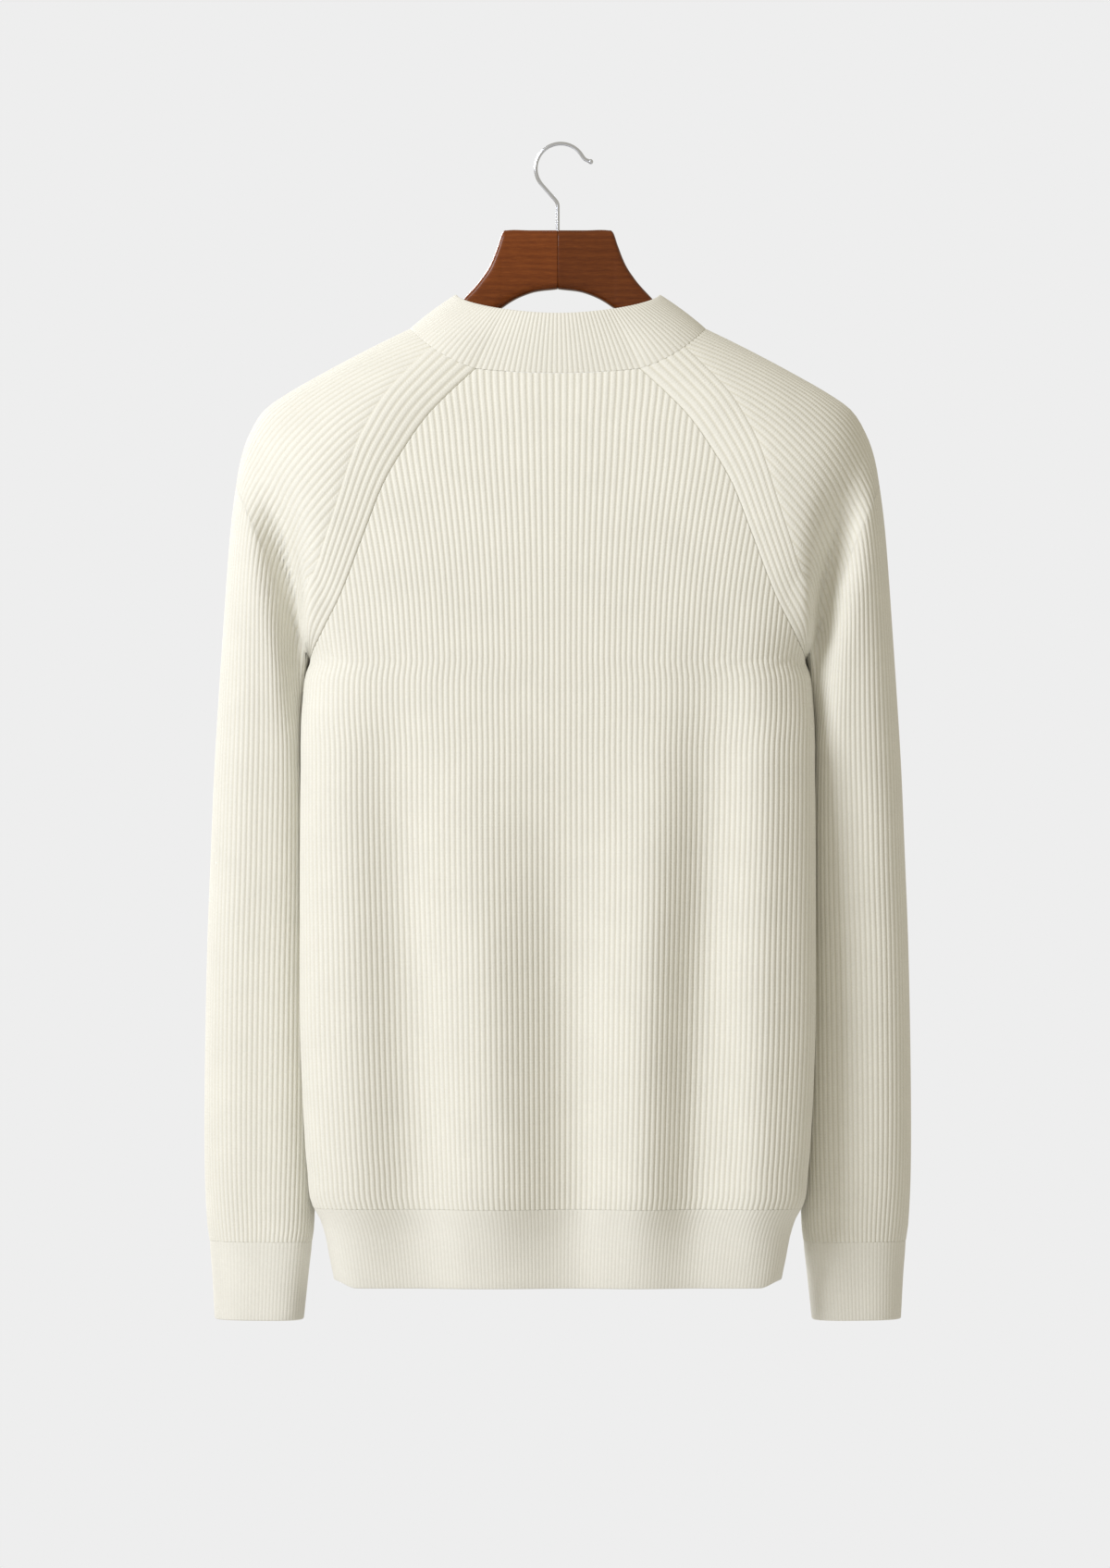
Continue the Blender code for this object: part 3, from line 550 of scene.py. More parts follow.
def torso_map(side, ribs):
    """For dense levels, where each rib column lies across the torso."""
    columns, heights = rib_columns(ribs)
    share = columns / ribs * 2 - 1
    levels = np.concatenate([np.linspace(150, 440, 240), np.linspace(442, HEM_DOWN, 130)])
    xs = []
    for level in levels:
        halves = []
        for sign in (-1, 1):
            x, along = across_torso(level, side, sign)
            width = along[-1]
            if level < UNDERARM_DOWN:
                width = UNDERARM_LENGTHS[side, sign] * float(spline(RIB_WIDENING, 1, level))
            halves.append(sign * np.interp(np.abs(share) * width, along, x))
        xs.append(np.where(share < 0, halves[0], halves[1]))
    return levels, np.array(xs), columns, heights


UNDERARM_LENGTHS = {(side, sign): across_torso(UNDERARM_DOWN, side, sign)[1][-1]
                    for side, _ in SIDES for sign in (-1, 1)}


def torso_grid(side, levels, xs, tops, foot, rows, foot_edge):
    """A grid down the rib columns, from each column's own top to a level foot."""
    # an edge that lies aslant takes its close rows further apart, measured down the rib
    x_top = np.array([np.interp(t, levels, xs[:, i]) for i, t in enumerate(tops)])
    slope = np.gradient(tops, x_top, edge_order=1)
    scale = np.minimum(np.sqrt(1 + slope**2), 3.0)
    down = spaced(tops + SEAM_GAP * scale, np.full_like(tops, foot), rows, start_scale=scale)
    share = xs / spline(BODY, 1, levels)[:, None]
    x = np.stack([np.interp(down[:, i], levels, share[:, i]) for i in range(len(tops))], axis=1)
    x = x * spline(BODY, 1, down)
    return torso_points(x, down, side), down, edged(down.shape, SEAM_EDGE, foot_edge)


def turned(grids, flip):
    """Grids with their columns the other way round where flip is true, so that they face out."""
    return [g[:, ::-1] for g in grids] if flip else list(grids)


def panel_tops(side, levels, xs):
    """Where each rib column of a panel meets the neck, the raglan seam or the underarm."""
    tops = []
    for x in xs.T:
        k = max(int(np.argmax(levels >= top_of_panel(x, side))), 1)
        over = top_of_panel(x[k - 1 : k + 1], side) - levels[k - 1 : k + 1]
        share = over[0] / max(over[0] - over[1], 1e-9)
        tops.append(levels[k - 1] + (levels[k] - levels[k - 1]) * min(max(share, 0.0), 1.0))
    return np.minimum(np.array(tops), UNDERARM_DOWN)


def beside_placket(middle):
    """Which faces of the front stay: all but those in the placket's slot."""
    return (np.abs(middle[:, 0]) > 11) | (middle[:, 2] > UNDERARM_DOWN - 8)


def torso_piece(name, side, columns, grids, wall, material, keep=None):
    base, down, height, thick = grids
    base, u, down, height, thick = turned([base, columns + 0 * down, down, height, thick], side == FRONT)
    made = build(f"{name}_knit", [patch(base, u, down, height, wall, thick)], material, keep)
    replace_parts(made, name)
    return made


def torso_pieces(materials):
    made = {}
    for side, name in SIDES:
        levels, xs, columns, heights = torso_map(side, BODY_RIBS)
        tops = panel_tops(side, levels, xs)
        base, down, thick = torso_grid(side, levels, xs, tops, HEM_SEAM_DOWN - SEAM_GAP, 66, SEAM_EDGE)
        height = relief(heights, BODY_RIB_RELIEF, down)
        keep = None
        if side == FRONT:
            edge = ramp(np.abs(base[..., 0]), PLACKET_HALF_WIDTH - 0.5, PLACKET_HALF_WIDTH + 3.0)
            below = ramp(down, UNDERARM_DOWN - 2, UNDERARM_DOWN + 4)
            height = height - PLACKET_SINK * (1 - edge) * (1 - below)
            keep = beside_placket
        panel = torso_piece(f"{name}_panel", side, columns, (base, down, height, thick), KNIT_WALL,
                            materials["knit"], keep)
        levels, xs, columns, heights = torso_map(side, HEM_RIBS)
        tops = np.full(len(columns), HEM_SEAM_DOWN + SEAM_GAP)
        base, down, thick = torso_grid(side, levels, xs, tops, HEM_DOWN, 7, 0.0)
        at_side = ramp(np.abs(base[..., 0]) / spline(BODY, 1, down), 0.90, 1.0)
        base[..., 2] -= HEM_SIDE_LIFT * at_side * ramp(down, HEM_DOWN - 22, HEM_DOWN)
        height = relief(heights, FINE_RIB_RELIEF, down)
        made[name] = (panel, torso_piece(f"hem_band_{name}", side, columns, (base, down, height, thick),
                                         FINE_WALL, materials["fine"]))
    return made


# ---------------------------------------------------------------- sleeves

def rib_measure(line, row):
    """Distance along a line across the sleeve, counted square to the ribs there."""
    angle = math.radians(float(np.interp(row, RIB_ANGLE[:, 0], RIB_ANGLE[:, 1])))
    along_rib = np.array([math.cos(angle), 0.0, math.sin(angle)])
    step = np.diff(line, axis=0)
    straight = step @ along_rib
    square = np.sqrt(np.maximum((step**2).sum(axis=1) - 0.96 * straight**2, 0.0))
    return np.concatenate([[0.0], np.cumsum(square)])


def bridged(rows, values, start, end):
    """The values with what lies between two rows replaced by a smooth curve, then evened out."""
    step = rows[1] - rows[0]
    a, b = np.searchsorted(rows, (start, end))
    h = rows[b] - rows[a]
    t = (rows[a:b] - rows[a]) / h
    slope_a = (values[a] - values[a - 8]) / (8 * step)
    slope_b = (values[b + 8] - values[b]) / (8 * step)
    made = values.copy()
    made[a:b] = between(t, h, values[a], values[b], slope_a, slope_b)
    reach = int(0.9 / step)
    weight = np.cos(np.linspace(-math.pi / 2, math.pi / 2, 2 * reach + 1)) ** 2
    padded = np.pad(made, reach, mode="reflect", reflect_type="odd")
    return np.convolve(padded, weight / weight.sum(), mode="valid")


def evened(grid, axis):
    """A grid of vectors averaged over its neighbours along one axis."""
    ends = [(3, 3) if k == axis else (0, 0) for k in range(3)]
    padded = np.pad(grid, ends, mode="edge")
    size = grid.shape[axis]
    return sum(np.take(padded, range(k, k + size), axis=axis) for k in range(7)) / 7


class HalfSleeve:
    """The back or front half of the sleeve, measured out in ribs."""

    def __init__(self, side, first, last, samples):
        self.rows = np.linspace(first, last, samples)
        self.lines = [sleeve_line(row, side) for row in self.rows]
        self.measures = [rib_measure(line, row) for line, row in zip(self.lines, self.rows)]
        self.totals = np.array([m[-1] for m in self.measures])
        facing = facing_out(np.array(self.lines)) * side
        self.normals = unit(evened(evened(facing, 0), 1))
        ridge = np.array([line[0] for line in self.lines])
        inner = np.array([line[-1] for line in self.lines])
        self.mm = (lengths(ridge) + lengths(inner)) / 2

    def columns(self, distance):
        """Points and normals at distance[row, column] from the outer fold, for every dense row."""
        known = [np.concatenate(pair, axis=1) for pair in zip(self.lines, self.normals)]
        return np.array([np.stack([np.interp(d, m, both[:, k]) for k in range(6)], axis=-1)
                         for d, m, both in zip(distance, self.measures, known)])

    def take(self, dense, rows):
        """Points and normals of dense columns at rows[row, column]."""
        out = np.empty(rows.shape + (6,))
        for c in range(rows.shape[1]):
            for k in range(6):
                out[:, c, k] = np.interp(rows[:, c], self.rows, dense[:, c, k])
        return out[..., :3], unit(out[..., 3:])


def row_ramp(half, low_row, end_row, count):
    """Rows of the sleeve from low_row to end_row, close together at both ends."""
    start = np.interp(low_row, half.rows, half.mm)
    end = np.interp(end_row, half.rows, half.mm)
    mm = spaced(start, end, count)
    return np.interp(mm, half.mm, half.rows)


def sleeve_half(side):
    """Patches of one half of the right sleeve: the ribs down from the yoke, and the band beside the
    raglan seam, which runs on down the inner fold."""
    half = HalfSleeve(side, 0.0, CUFF_SEAM_ROW, 421)
    yoke = half.rows < UNDERARM_ROW
    main_ribs = np.where(yoke, spline(YOKE_RIBS, 1, half.rows), SLEEVE_MAIN_RIBS)
    all_ribs = SLEEVE_MAIN_RIBS + SLEEVE_BAND_RIBS
    on_yoke = (half.totals - spline(YOKE_RIBS, 2, half.rows)) / main_ribs
    pitch = np.where(yoke, on_yoke, half.totals / all_ribs)
    # the line's end drops round the side at the underarm, which the band takes up, not the pitch
    pitch = bridged(half.rows, pitch, 7.0, 9.2)
    main_width = pitch * main_ribs
    band_width = half.totals - main_width
    columns, heights = rib_columns(SLEEVE_MAIN_RIBS)
    distance = np.minimum(columns[None, :] * pitch[:, None], half.totals[:, None])
    dense = half.columns(distance)
    first_row = np.interp(columns, spline(YOKE_RIBS, 1, half.rows[yoke]), half.rows[yoke])
    first_row[columns <= YOKE_RIBS[0, 1]] = 0.0
    first_row[-1] = UNDERARM_ROW
    at_neck = columns <= YOKE_RIBS[0, 1]
    rows = row_ramp(half, first_row, CUFF_SEAM_ROW, 70)
    rows[0] = first_row
    base, normal = half.take(dense, rows)
    mm = np.interp(rows, half.rows, half.mm)
    thick = edged(rows.shape, SEAM_EDGE, SEAM_EDGE)
    thick[: len(EDGE_STEPS), ~at_neck] = 1.0
    joint = np.where(at_neck, 1.0, ramp(mm - mm[0], 0.0, 3.5))
    height = relief(heights * joint, SLEEVE_RIB_RELIEF, rows)
    main = (base, normal, columns + 0 * rows, mm, height, thick)

    across, band_heights = rib_columns(SLEEVE_BAND_RIBS)
    cuts = first_row[columns >= YOKE_RIBS[0, 1]]
    band_rows = np.concatenate([cuts, rows[1:, -1]])
    share = across / SLEEVE_BAND_RIBS
    distance = main_width[:, None] + band_width[:, None] * share[None, :]
    dense_band = half.columns(distance)
    grid_rows = np.repeat(band_rows[:, None], len(across), axis=1)
    band_base, band_normal = half.take(dense_band, grid_rows)
    edge_rows = len(band_rows) - (len(rows) - 1)
    from_neck = columns >= YOKE_RIBS[0, 1]
    for grid, source in ((band_base, base), (band_normal, normal)):
        grid[:edge_rows, 0] = source[0, from_neck]
        grid[edge_rows:, 0] = source[1:, -1]
    band_mm = np.interp(grid_rows, half.rows, half.mm)
    thick = edged(grid_rows.shape, 1.0, SEAM_EDGE)
    thick[0] = SEAM_EDGE
    thick[band_rows < UNDERARM_ROW, -1] = SEAM_EDGE
    height = relief(band_heights, SLEEVE_RIB_RELIEF, grid_rows)
    band = (band_base, band_normal, SLEEVE_MAIN_RIBS + across + 0 * grid_rows, band_mm, height, thick)
    return main, band


def mirrored(grids):
    """The left sleeve's copy of a patch."""
    flip = np.array([-1.0, 1.0, 1.0])
    return turned((grids[0] * flip, grids[1] * flip, *grids[2:]), True)


def sleeve_pieces(materials):
    halves = []
    for side, _ in SIDES:
        main, band = sleeve_half(side)
        for base, normal, u, mm, height, thick in (main, band):
            # columns run from the outer fold inwards: on the back they are turned to run outwards
            halves.append(turned((base, normal, u * side, mm, height, thick), side == BACK))
    made = {}
    for name, left in (("right", False), ("left", True)):
        patches = []
        for grids in halves:
            base, normal, u, mm, height, thick = mirrored(grids) if left else grids
            patches.append(patch(base, u, mm, height, KNIT_WALL, thick, normal))
        sleeve = build(f"sleeve_{name}_knit", patches, materials["knit"])
        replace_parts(sleeve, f"sleeve_{name}")
        cuff = build(f"cuff_{name}_knit", [cuff_patch(left)], materials["fine"])
        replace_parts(cuff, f"cuff_{name}")
        made[name] = (sleeve, cuff)
    return made


def cuff_patch(left):
    columns, heights = rib_columns(CUFF_RIBS)
    share = columns / CUFF_RIBS
    back = HalfSleeve(BACK, CUFF_SEAM_ROW, CUFF_ROW, 60)
    front = HalfSleeve(FRONT, CUFF_SEAM_ROW, CUFF_ROW, 60)
    rings = []
    for line_back, line_front in zip(back.lines, front.lines):
        ring = np.concatenate([line_back[::-1], line_front[1:]])
        along = lengths(ring)
        rings.append(at_values(share * along[-1], along, ring))
    rings = np.array(rings)
    dense = np.concatenate([rings, facing_out(rings)], axis=-1)
    start, end = back.mm[0] + 2 * SEAM_GAP, back.mm[-1]
    mm = spaced(np.full(len(columns), start), np.full(len(columns), end), 7)
    rows = np.interp(mm, back.mm, back.rows)
    base, normal = back.take(dense, rows)
    thick = edged(rows.shape, SEAM_EDGE, 0.0)
    height = relief(heights, FINE_RIB_RELIEF, rows)
    grids = [base, normal, columns + 0 * rows, mm, height, thick]
    base, normal, u, mm, height, thick = mirrored(grids) if left else grids
    return patch(base, u, mm, height, FINE_WALL, thick, normal)


# ---------------------------------------------------------------- collar and placket

def neck_seam():
    """The neck seam as a dense line, from the placket round the left, the back and the right, back
    to the placket."""
    x = np.linspace(PLACKET_HALF_WIDTH, SEAM[FRONT][0, 0], 60)
    front = torso_points(x, top_of_panel(x - 1e-6, FRONT), FRONT)
    sleeve = np.concatenate([sleeve_line(0.0, FRONT)[::-1], sleeve_line(0.0, BACK)[1:]])
    x = np.linspace(SEAM[BACK][0, 0], 0, 60)
    back = torso_points(x, top_of_panel(x - 1e-6, BACK), BACK)
    right = np.concatenate([front, sleeve[1:], back[1:]])
    left = right * np.array([-1.0, 1.0, 1.0])
    return np.concatenate([left, right[::-1][1:]])


def collar_top(ring):
    """The point of the collar's top edge above each point of the neck seam."""
    x, y = ring[:, 0], ring[:, 1]
    back = y < 0
    angle = np.arctan2(y / np.where(back, NECK_BACK_DEPTH, NECK_FRONT_DEPTH), x / NECK_HALF_WIDTH)
    round_about = np.abs(np.sin(angle))
    drop = np.where(back, COLLAR_BACK_DROP * round_about**1.6, COLLAR_FRONT_DROP * round_about**2)
    n = COLLAR_ROUNDNESS
    reach = (np.abs(np.cos(angle)) ** n + round_about**n) ** (-1 / n)
    return np.stack([
        COLLAR_TOP_HALF_WIDTH * reach * np.cos(angle),
        np.where(back, COLLAR_TOP_BACK, COLLAR_TOP_FRONT) * reach * np.sin(angle),
        COLLAR_TOP_SIDE_DOWN + drop,
    ], axis=1), angle


def collar_patch():
    ring = neck_seam()
    top, angle = collar_top(ring)
    columns, heights = rib_columns(COLLAR_RIBS)
    share = columns / COLLAR_RIBS
    low, high = lengths(ring), lengths(top)
    measure = 0.45 * low / low[-1] + 0.55 * high / high[-1]
    foot, head = at_values(share, measure, ring), at_values(share, measure, top)
    angles = np.interp(share, measure, np.unwrap(angle))
    out = np.stack([np.cos(angles), np.sin(angles), 0 * angles], axis=1)
    height_mm = np.linalg.norm(foot - head, axis=1)
    mm = spaced(np.zeros(len(columns)), height_mm - SEAM_GAP, 10)
    t = (mm / height_mm)[..., None]
    base = head + (foot - head) * t + out * COLLAR_BULGE * 4 * t * (1 - t)
    thick = edged(mm.shape, 0.0, SEAM_EDGE)
    return patch(base, columns + 0 * mm, mm, relief(heights, COLLAR_RIB_RELIEF, mm), COLLAR_WALL, thick)


def placket_line(count, offset):
    """The placket's centre line, from the top of the collar to its foot, with its own normals."""
    down = np.linspace(NECK_DOWN[FRONT], UNDERARM_DOWN - 0.6, count)
    low = torso_points(np.zeros(count), down, FRONT)
    top = np.array([0.0, COLLAR_TOP_FRONT, COLLAR_TOP_SIDE_DOWN + COLLAR_FRONT_DROP])
    steps = np.linspace(0, 1, 9)[:-1, None]
    bulge = 4 * steps * (1 - steps) * np.array([0.0, COLLAR_BULGE, 0.0])
    high = top + (low[0] - top) * steps + bulge
    line = np.concatenate([high, low])
    smooth = line.copy()
    for _ in range(6):
        smooth[1:-1] = (smooth[:-2] + 2 * smooth[1:-1] + smooth[2:]) / 4
    tangent = unit(np.gradient(smooth, axis=0))
    normal = np.stack([0 * tangent[:, 0], tangent[:, 2], -tangent[:, 1]], axis=1)
    return smooth + normal * offset, normal


def placket_patch(half_width, ribs, offset):
    line, normal = placket_line(40, offset)
    columns, heights = rib_columns(ribs)
    along = lengths(line)
    mm = spaced(np.zeros(1), np.full(1, along[-1]), 60)[:, 0]
    centre, facing = at_values(mm, along, line), unit(at_values(mm, along, normal))
    x = half_width * (1 - 2 * columns / ribs)
    base = centre[:, None, :] + np.stack([x, 0 * x, 0 * x], axis=-1)[None]
    curve = (x[None, :] ** 2) * 0.0016
    base = base - facing[:, None, :] * curve[..., None]
    thick = edged(base.shape[:2])
    thick[:, 0] = thick[:, -1] = 0.0
    height = relief(heights, PLACKET_RIB_RELIEF, thick)
    # a sewn line just inside each side
    height -= PLACKET_RIB_RELIEF * np.exp(-(((np.abs(x) - half_width + 3.2) / 0.7) ** 2))
    return patch(base, columns + 0 * thick, mm[:, None] + 0 * thick, height, FINE_WALL, thick)


def neck_pieces(materials):
    strips = [(name, placket_patch(*sizes)) for name, *sizes in PLACKETS]
    made = []
    for name, grid in [("collar", collar_patch()), *strips]:
        made.append(build(f"{name}_knit", [grid], materials["collar"]))
        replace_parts(made[-1], name)
    return made


# ---------------------------------------------------------------- materials

class Nodes:
    """A short way to write a node tree."""

    def __init__(self, name):
        self.material = bpy.data.materials.new(name)
        self.material.use_nodes = True
        self.tree = self.material.node_tree
        self.shader = self.tree.nodes["Principled BSDF"]
        self.place = self.add("ShaderNodeTexCoord").outputs["Object"]

    def link(self, source, target):
        if isinstance(source, (int, float)):
            target.default_value = source
        elif isinstance(source, tuple):
            target.default_value = source if len(source) == len(target.default_value) else (*source, 1.0)
        else:
            self.tree.links.new(source, target)

    def add(self, kind, settings=None, **inputs):
        node = self.tree.nodes.new(kind)
        for key, value in (settings or {}).items():
            setattr(node, key, value)
        for key, value in inputs.items():
            self.link(value, node.inputs[key.replace("_", " ")])
        return node

    def finish(self, **values):
        """Sets or links the shader's inputs, and gives the material."""
        for key, value in values.items():
            self.link(value, self.shader.inputs[key.replace("_", " ")])
        return self.material

    def math(self, operation, a, b=0.0):
        node = self.tree.nodes.new("ShaderNodeMath")
        node.operation = operation
        for value, socket in zip((a, b), node.inputs):
            self.link(value, socket)
        return node.outputs[0]

    def plus(self, a, b):
        return self.math("ADD", a, b)

    def minus(self, a, b):
        return self.math("SUBTRACT", a, b)

    def times(self, a, b):
        return self.math("MULTIPLY", a, b)

    def bump(self, height, strength, distance):
        node = self.add("ShaderNodeBump", Height=height, Strength=strength, Distance=distance)
        return node.outputs[0]

    def mix(self, factor, a, b):
        node = self.tree.nodes.new("ShaderNodeMix")
        node.data_type = "RGBA"
        self.link(factor, node.inputs[0])
        self.link(a, node.inputs[6])
        self.link(b, node.inputs[7])
        return node.outputs[2]

    def ramp(self, value, *stops):
        node = self.tree.nodes.new("ShaderNodeValToRGB")
        self.link(value, node.inputs[0])
        elements = node.color_ramp.elements
        while len(elements) < len(stops):
            elements.new(0.5)
        for element, (place, colour) in zip(elements, stops):
            element.position = place
            element.color = (*colour, 1.0) if isinstance(colour, tuple) else (colour, colour, colour, 1.0)
        return node.outputs[0]

    def noise(self, scale, detail=2.0, vector=None, roughness=0.5):
        node = self.add("ShaderNodeTexNoise", Scale=scale, Detail=detail, Roughness=roughness)
        if vector is not None:
            self.link(vector, node.inputs["Vector"])
        return node.outputs[0]


def knit_material(name, stitch_mm, light, groove_shade_colour, groove_depth, stitch_depth, fuzz):
    """Rib knit: the mesh carries the ribs, and this adds the stitches on each of them, the grooves between,
    and the yarn's fuzz. Its colour is darkened as painted shade in the grooves, down each rib's middle
    and between the stitch legs."""
    n = Nodes(name)
    uv = n.add("ShaderNodeUVMap", {"uv_map": "knit"}).outputs[0]
    split = n.add("ShaderNodeSeparateXYZ", Vector=uv)
    u, v = split.outputs[0], split.outputs[1]
    wobble = n.times(n.minus(n.noise(260.0, 2.0, n.place), 0.5), 0.5)
    within = n.math("FRACT", u)
    from_middle = n.math("ABSOLUTE", n.minus(within, 0.5))
    # two legs of each stitch lean in to the rib's middle
    lean = n.times(from_middle, 1.1)
    course = n.plus(n.plus(n.math("DIVIDE", v, stitch_mm), lean), wobble)
    legs = n.math("SINE", n.times(course, 2 * math.pi))
    on_rib = n.ramp(from_middle, (0.0, 0.55), (0.12, 1.0), (0.33, 0.8), (0.5, 0.0))
    middle_line = n.ramp(from_middle, (0.0, 1.0), (0.07, 0.0))
    stitches = n.times(legs, on_rib)
    fine = n.noise(1500.0, 3.0, n.place, 0.6)
    patchy = n.noise(38.0, 3.0, n.place)
    tufts = n.noise(620.0, 2.0, n.place, 0.6)
    groove = n.ramp(from_middle, (0.26, 0.0), (0.5, 1.0))
    nap = n.plus(n.times(fine, fuzz), n.times(tufts, fuzz * 1.1))
    height = n.plus(n.times(stitches, stitch_depth), nap)
    height = n.minus(height, n.times(middle_line, stitch_depth * 0.8))
    height = n.minus(height, n.times(groove, groove_depth * 0.35))
    tone = n.plus(n.times(patchy, 0.3), n.times(fine, 0.25))
    tone = n.plus(tone, n.times(tufts, 0.35))
    colour = n.mix(n.ramp(tone, (0.30, 0.0), (0.60, 1.0)), tuple(c * 0.90 for c in light), light)
    # painted shade: the colour goes toward the shade colour in the grooves, down each rib's middle and
    # between the stitch legs
    shade = n.plus(n.times(groove, 0.6), n.times(middle_line, 0.08))
    shade = n.plus(shade, n.times(n.minus(1.0, legs), 0.05))
    colour = n.mix(n.math("MINIMUM", shade, 1.0), colour, groove_shade_colour)
    return n.finish(Base_Color=colour, Normal=n.bump(height, 0.9, 0.001), Roughness=0.92,
                    Specular_IOR_Level=0.18, Sheen_Weight=0.18, Sheen_Roughness=0.45,
                    Sheen_Tint=(1.0, 0.98, 0.92))


def wood_material(name, tone):
    n = Nodes(name)
    stretch = n.add("ShaderNodeMapping", Vector=n.place)
    stretch.inputs["Scale"].default_value = (14.0, 90.0, 120.0)
    warp = n.noise(3.0, 3.0, stretch.outputs[0])
    rings = n.add("ShaderNodeTexWave", {"wave_type": "BANDS", "bands_direction": "Z"},
                  Vector=stretch.outputs[0], Scale=0.55, Distortion=6.0, Detail=3.0)
    grain = n.noise(9.0, 6.0, stretch.outputs[0], 0.65)
    figure = n.plus(n.times(rings.outputs[1], 0.14), n.times(grain, 0.86))
    browns = ((0.2, (0.11, 0.022, 0.003)), (0.55, (0.18, 0.044, 0.007)), (0.9, (0.27, 0.076, 0.014)))
    # tone scales the browns: below 1 it makes a copy of the wood darkened as painted shade
    colour = n.ramp(figure, *((at, tuple(c * tone for c in brown)) for at, brown in browns))
    rough = n.plus(0.26, n.times(warp, 0.12))
    return n.finish(Base_Color=colour, Roughness=rough, Normal=n.bump(grain, 0.12, 0.0005),
                    Specular_IOR_Level=0.2, Coat_Weight=0.15, Coat_Roughness=0.14)


def metal_material():
    n = Nodes("nickel_wire")
    marks = n.noise(900.0, 4.0, n.place, 0.7)
    colour = n.mix(marks, (0.66, 0.69, 0.78), (0.75, 0.78, 0.87))
    rough = n.plus(0.16, n.times(marks, 0.12))
    return n.finish(Base_Color=colour, Roughness=rough, Metallic=1.0)


def button_material():
    n = Nodes("horn_button")
    cloudy = n.noise(140.0, 4.0, n.place, 0.6)
    colour = n.ramp(cloudy, (0.3, (0.56, 0.50, 0.40)), (0.6, (0.74, 0.69, 0.58)))
    bump = n.bump(n.noise(700.0, 2.0, n.place), 0.05, 0.0005)
    return n.finish(Base_Color=colour, Roughness=0.3, Coat_Weight=0.3, Normal=bump)


def floor_material():
    n = Nodes("pale_floor")
    colour = n.mix(n.noise(3.0, 2.0, n.place), (0.80, 0.80, 0.80), (0.82, 0.82, 0.82))
    return n.finish(Base_Color=colour, Roughness=0.9)


# ---------------------------------------------------------------- hanger

ARM = np.array([
    # x, top_down, bottom_down, half_thickness, forward
    (0.0, 61.1, 103.4, 9.0, 0.0),
    (20.0, 61.1, 106.5, 9.0, 0.0),
    (36.5, 61.1, 114.5, 9.0, 0.0),
    (38.6, 61.4, 116.0, 9.0, 0.0),
    (40.0, 63.0, 116.9, 9.0, 0.0),
    (43.0, 71.5, 118.8, 9.2, 0.0),
    (48.0, 84.3, 122.3, 9.5, 0.2),
    (55.3, 96.0, 126.6, 10.0, 0.4),
    (65.3, 107.5, 131.8, 10.5, 0.8),
    (75.3, 117.6, 137.5, 10.8, 1.2),
    (88.6, 128.5, 145.5, 11.5, 2.0),
    (106.6, 140.5, 156.5, 13.0, 3.0),
    (133.0, 155.0, 171.0, 16.0, 4.5),
    (166.5, 171.0, 188.0, 19.5, 6.0),
    (190.0, 185.0, 203.5, 21.5, 7.0),
    (198.5, 192.0, 208.0, 20.0, 7.5),
    (202.5, 197.0, 206.0, 15.0, 7.5),
])
ARM_ROUNDNESS = 4.5
ARM_SIDES = 72
ARM_EDGE = 0.7           # the rounding at the joint
ARM_END = ((197.0, 202.5), 3.0)                              # where the end is rounded, and how much
WIRE_RADIUS = 1.35
HOOK_RADIUS = 17.95
HOOK_BALL_RADIUS = 1.9
HOOK_CENTRE = (2.1, 16.5)                                    # x, down
HOOK_ARC = (30.0, 222.0)
HOOK_FLARE = ((23.6, 11.6), (20.6, 10.5), (19.2, 9.6))       # x, down
HOOK_STEM = ((-1.6, 39.4), (-0.5, 41.0), (0.0, 43.0), (0.0, 52.0), (0.0, 61.0), (0.0, 83.0))


def swept(rings):
    """Points, loops and face sizes of a skin over rings of the same count, closed at its ends."""
    count = len(rings[0])
    points = np.concatenate(rings)
    ids = np.arange(len(points)).reshape(len(rings), count)
    nxt = np.roll(ids, -1, axis=1)
    quads = np.stack([ids[:-1], nxt[:-1], nxt[1:], ids[1:]], axis=-1).reshape(-1)
    loops, sizes = [quads], [np.full(len(quads) // 4, 4)]
    for ring, middle in ((ids[0][::-1], rings[0].mean(axis=0)), (ids[-1], rings[-1].mean(axis=0))):
        loops.append(np.stack([ring, np.roll(ring, -1), np.full(count, len(points))], axis=1).reshape(-1))
        sizes.append(np.full(count, 3))
        points = np.concatenate([points, middle[None]])
    return points, np.concatenate(loops), np.concatenate(sizes)


def arm(name, sign, materials):
    """Half of the wooden hanger: upright sections from the joint out, with its end edges eased."""
    x = np.concatenate([[0.0, 0.15, 0.4, 0.7], np.linspace(1.5, 36, 24), np.linspace(36.5, 48, 36),
                        np.linspace(49, 202.5, 110)])
    angle = 2 * math.pi * (np.arange(ARM_SIDES) + 0.5) / ARM_SIDES
    c, s = np.cos(angle), np.sin(angle)
    across = np.copysign(np.abs(c) ** (2 / ARM_ROUNDNESS), c)
    upright = np.copysign(np.abs(s) ** (2 / ARM_ROUNDNESS), s)
    rings = []
    for place in x:
        top, bottom, thick, forward = (float(spline(ARM, k, place)) for k in (1, 2, 3, 4))
        ease = ARM_EDGE - ARM_EDGE * math.sqrt(1 - (1 - min(place, ARM_EDGE) / ARM_EDGE) ** 2)
        ease += ARM_END[1] * float(ramp(place, *ARM_END[0]))
        y = forward + (thick - ease) * across
        down = (top + bottom) / 2 + ((bottom - top) / 2 - ease) * upright
        rings.append(np.stack([sign * place + 0 * y, y, down], axis=1)[:: sign])
    points, loops, sizes = swept(rings)
    # the right arm takes the copy of the wood darkened as painted shade
    wood = materials["wood_right_painted_shade" if sign > 0 else "wood_left"]
    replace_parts(mesh_object(name + "_smooth", to_metres(points), loops, sizes, wood), name)


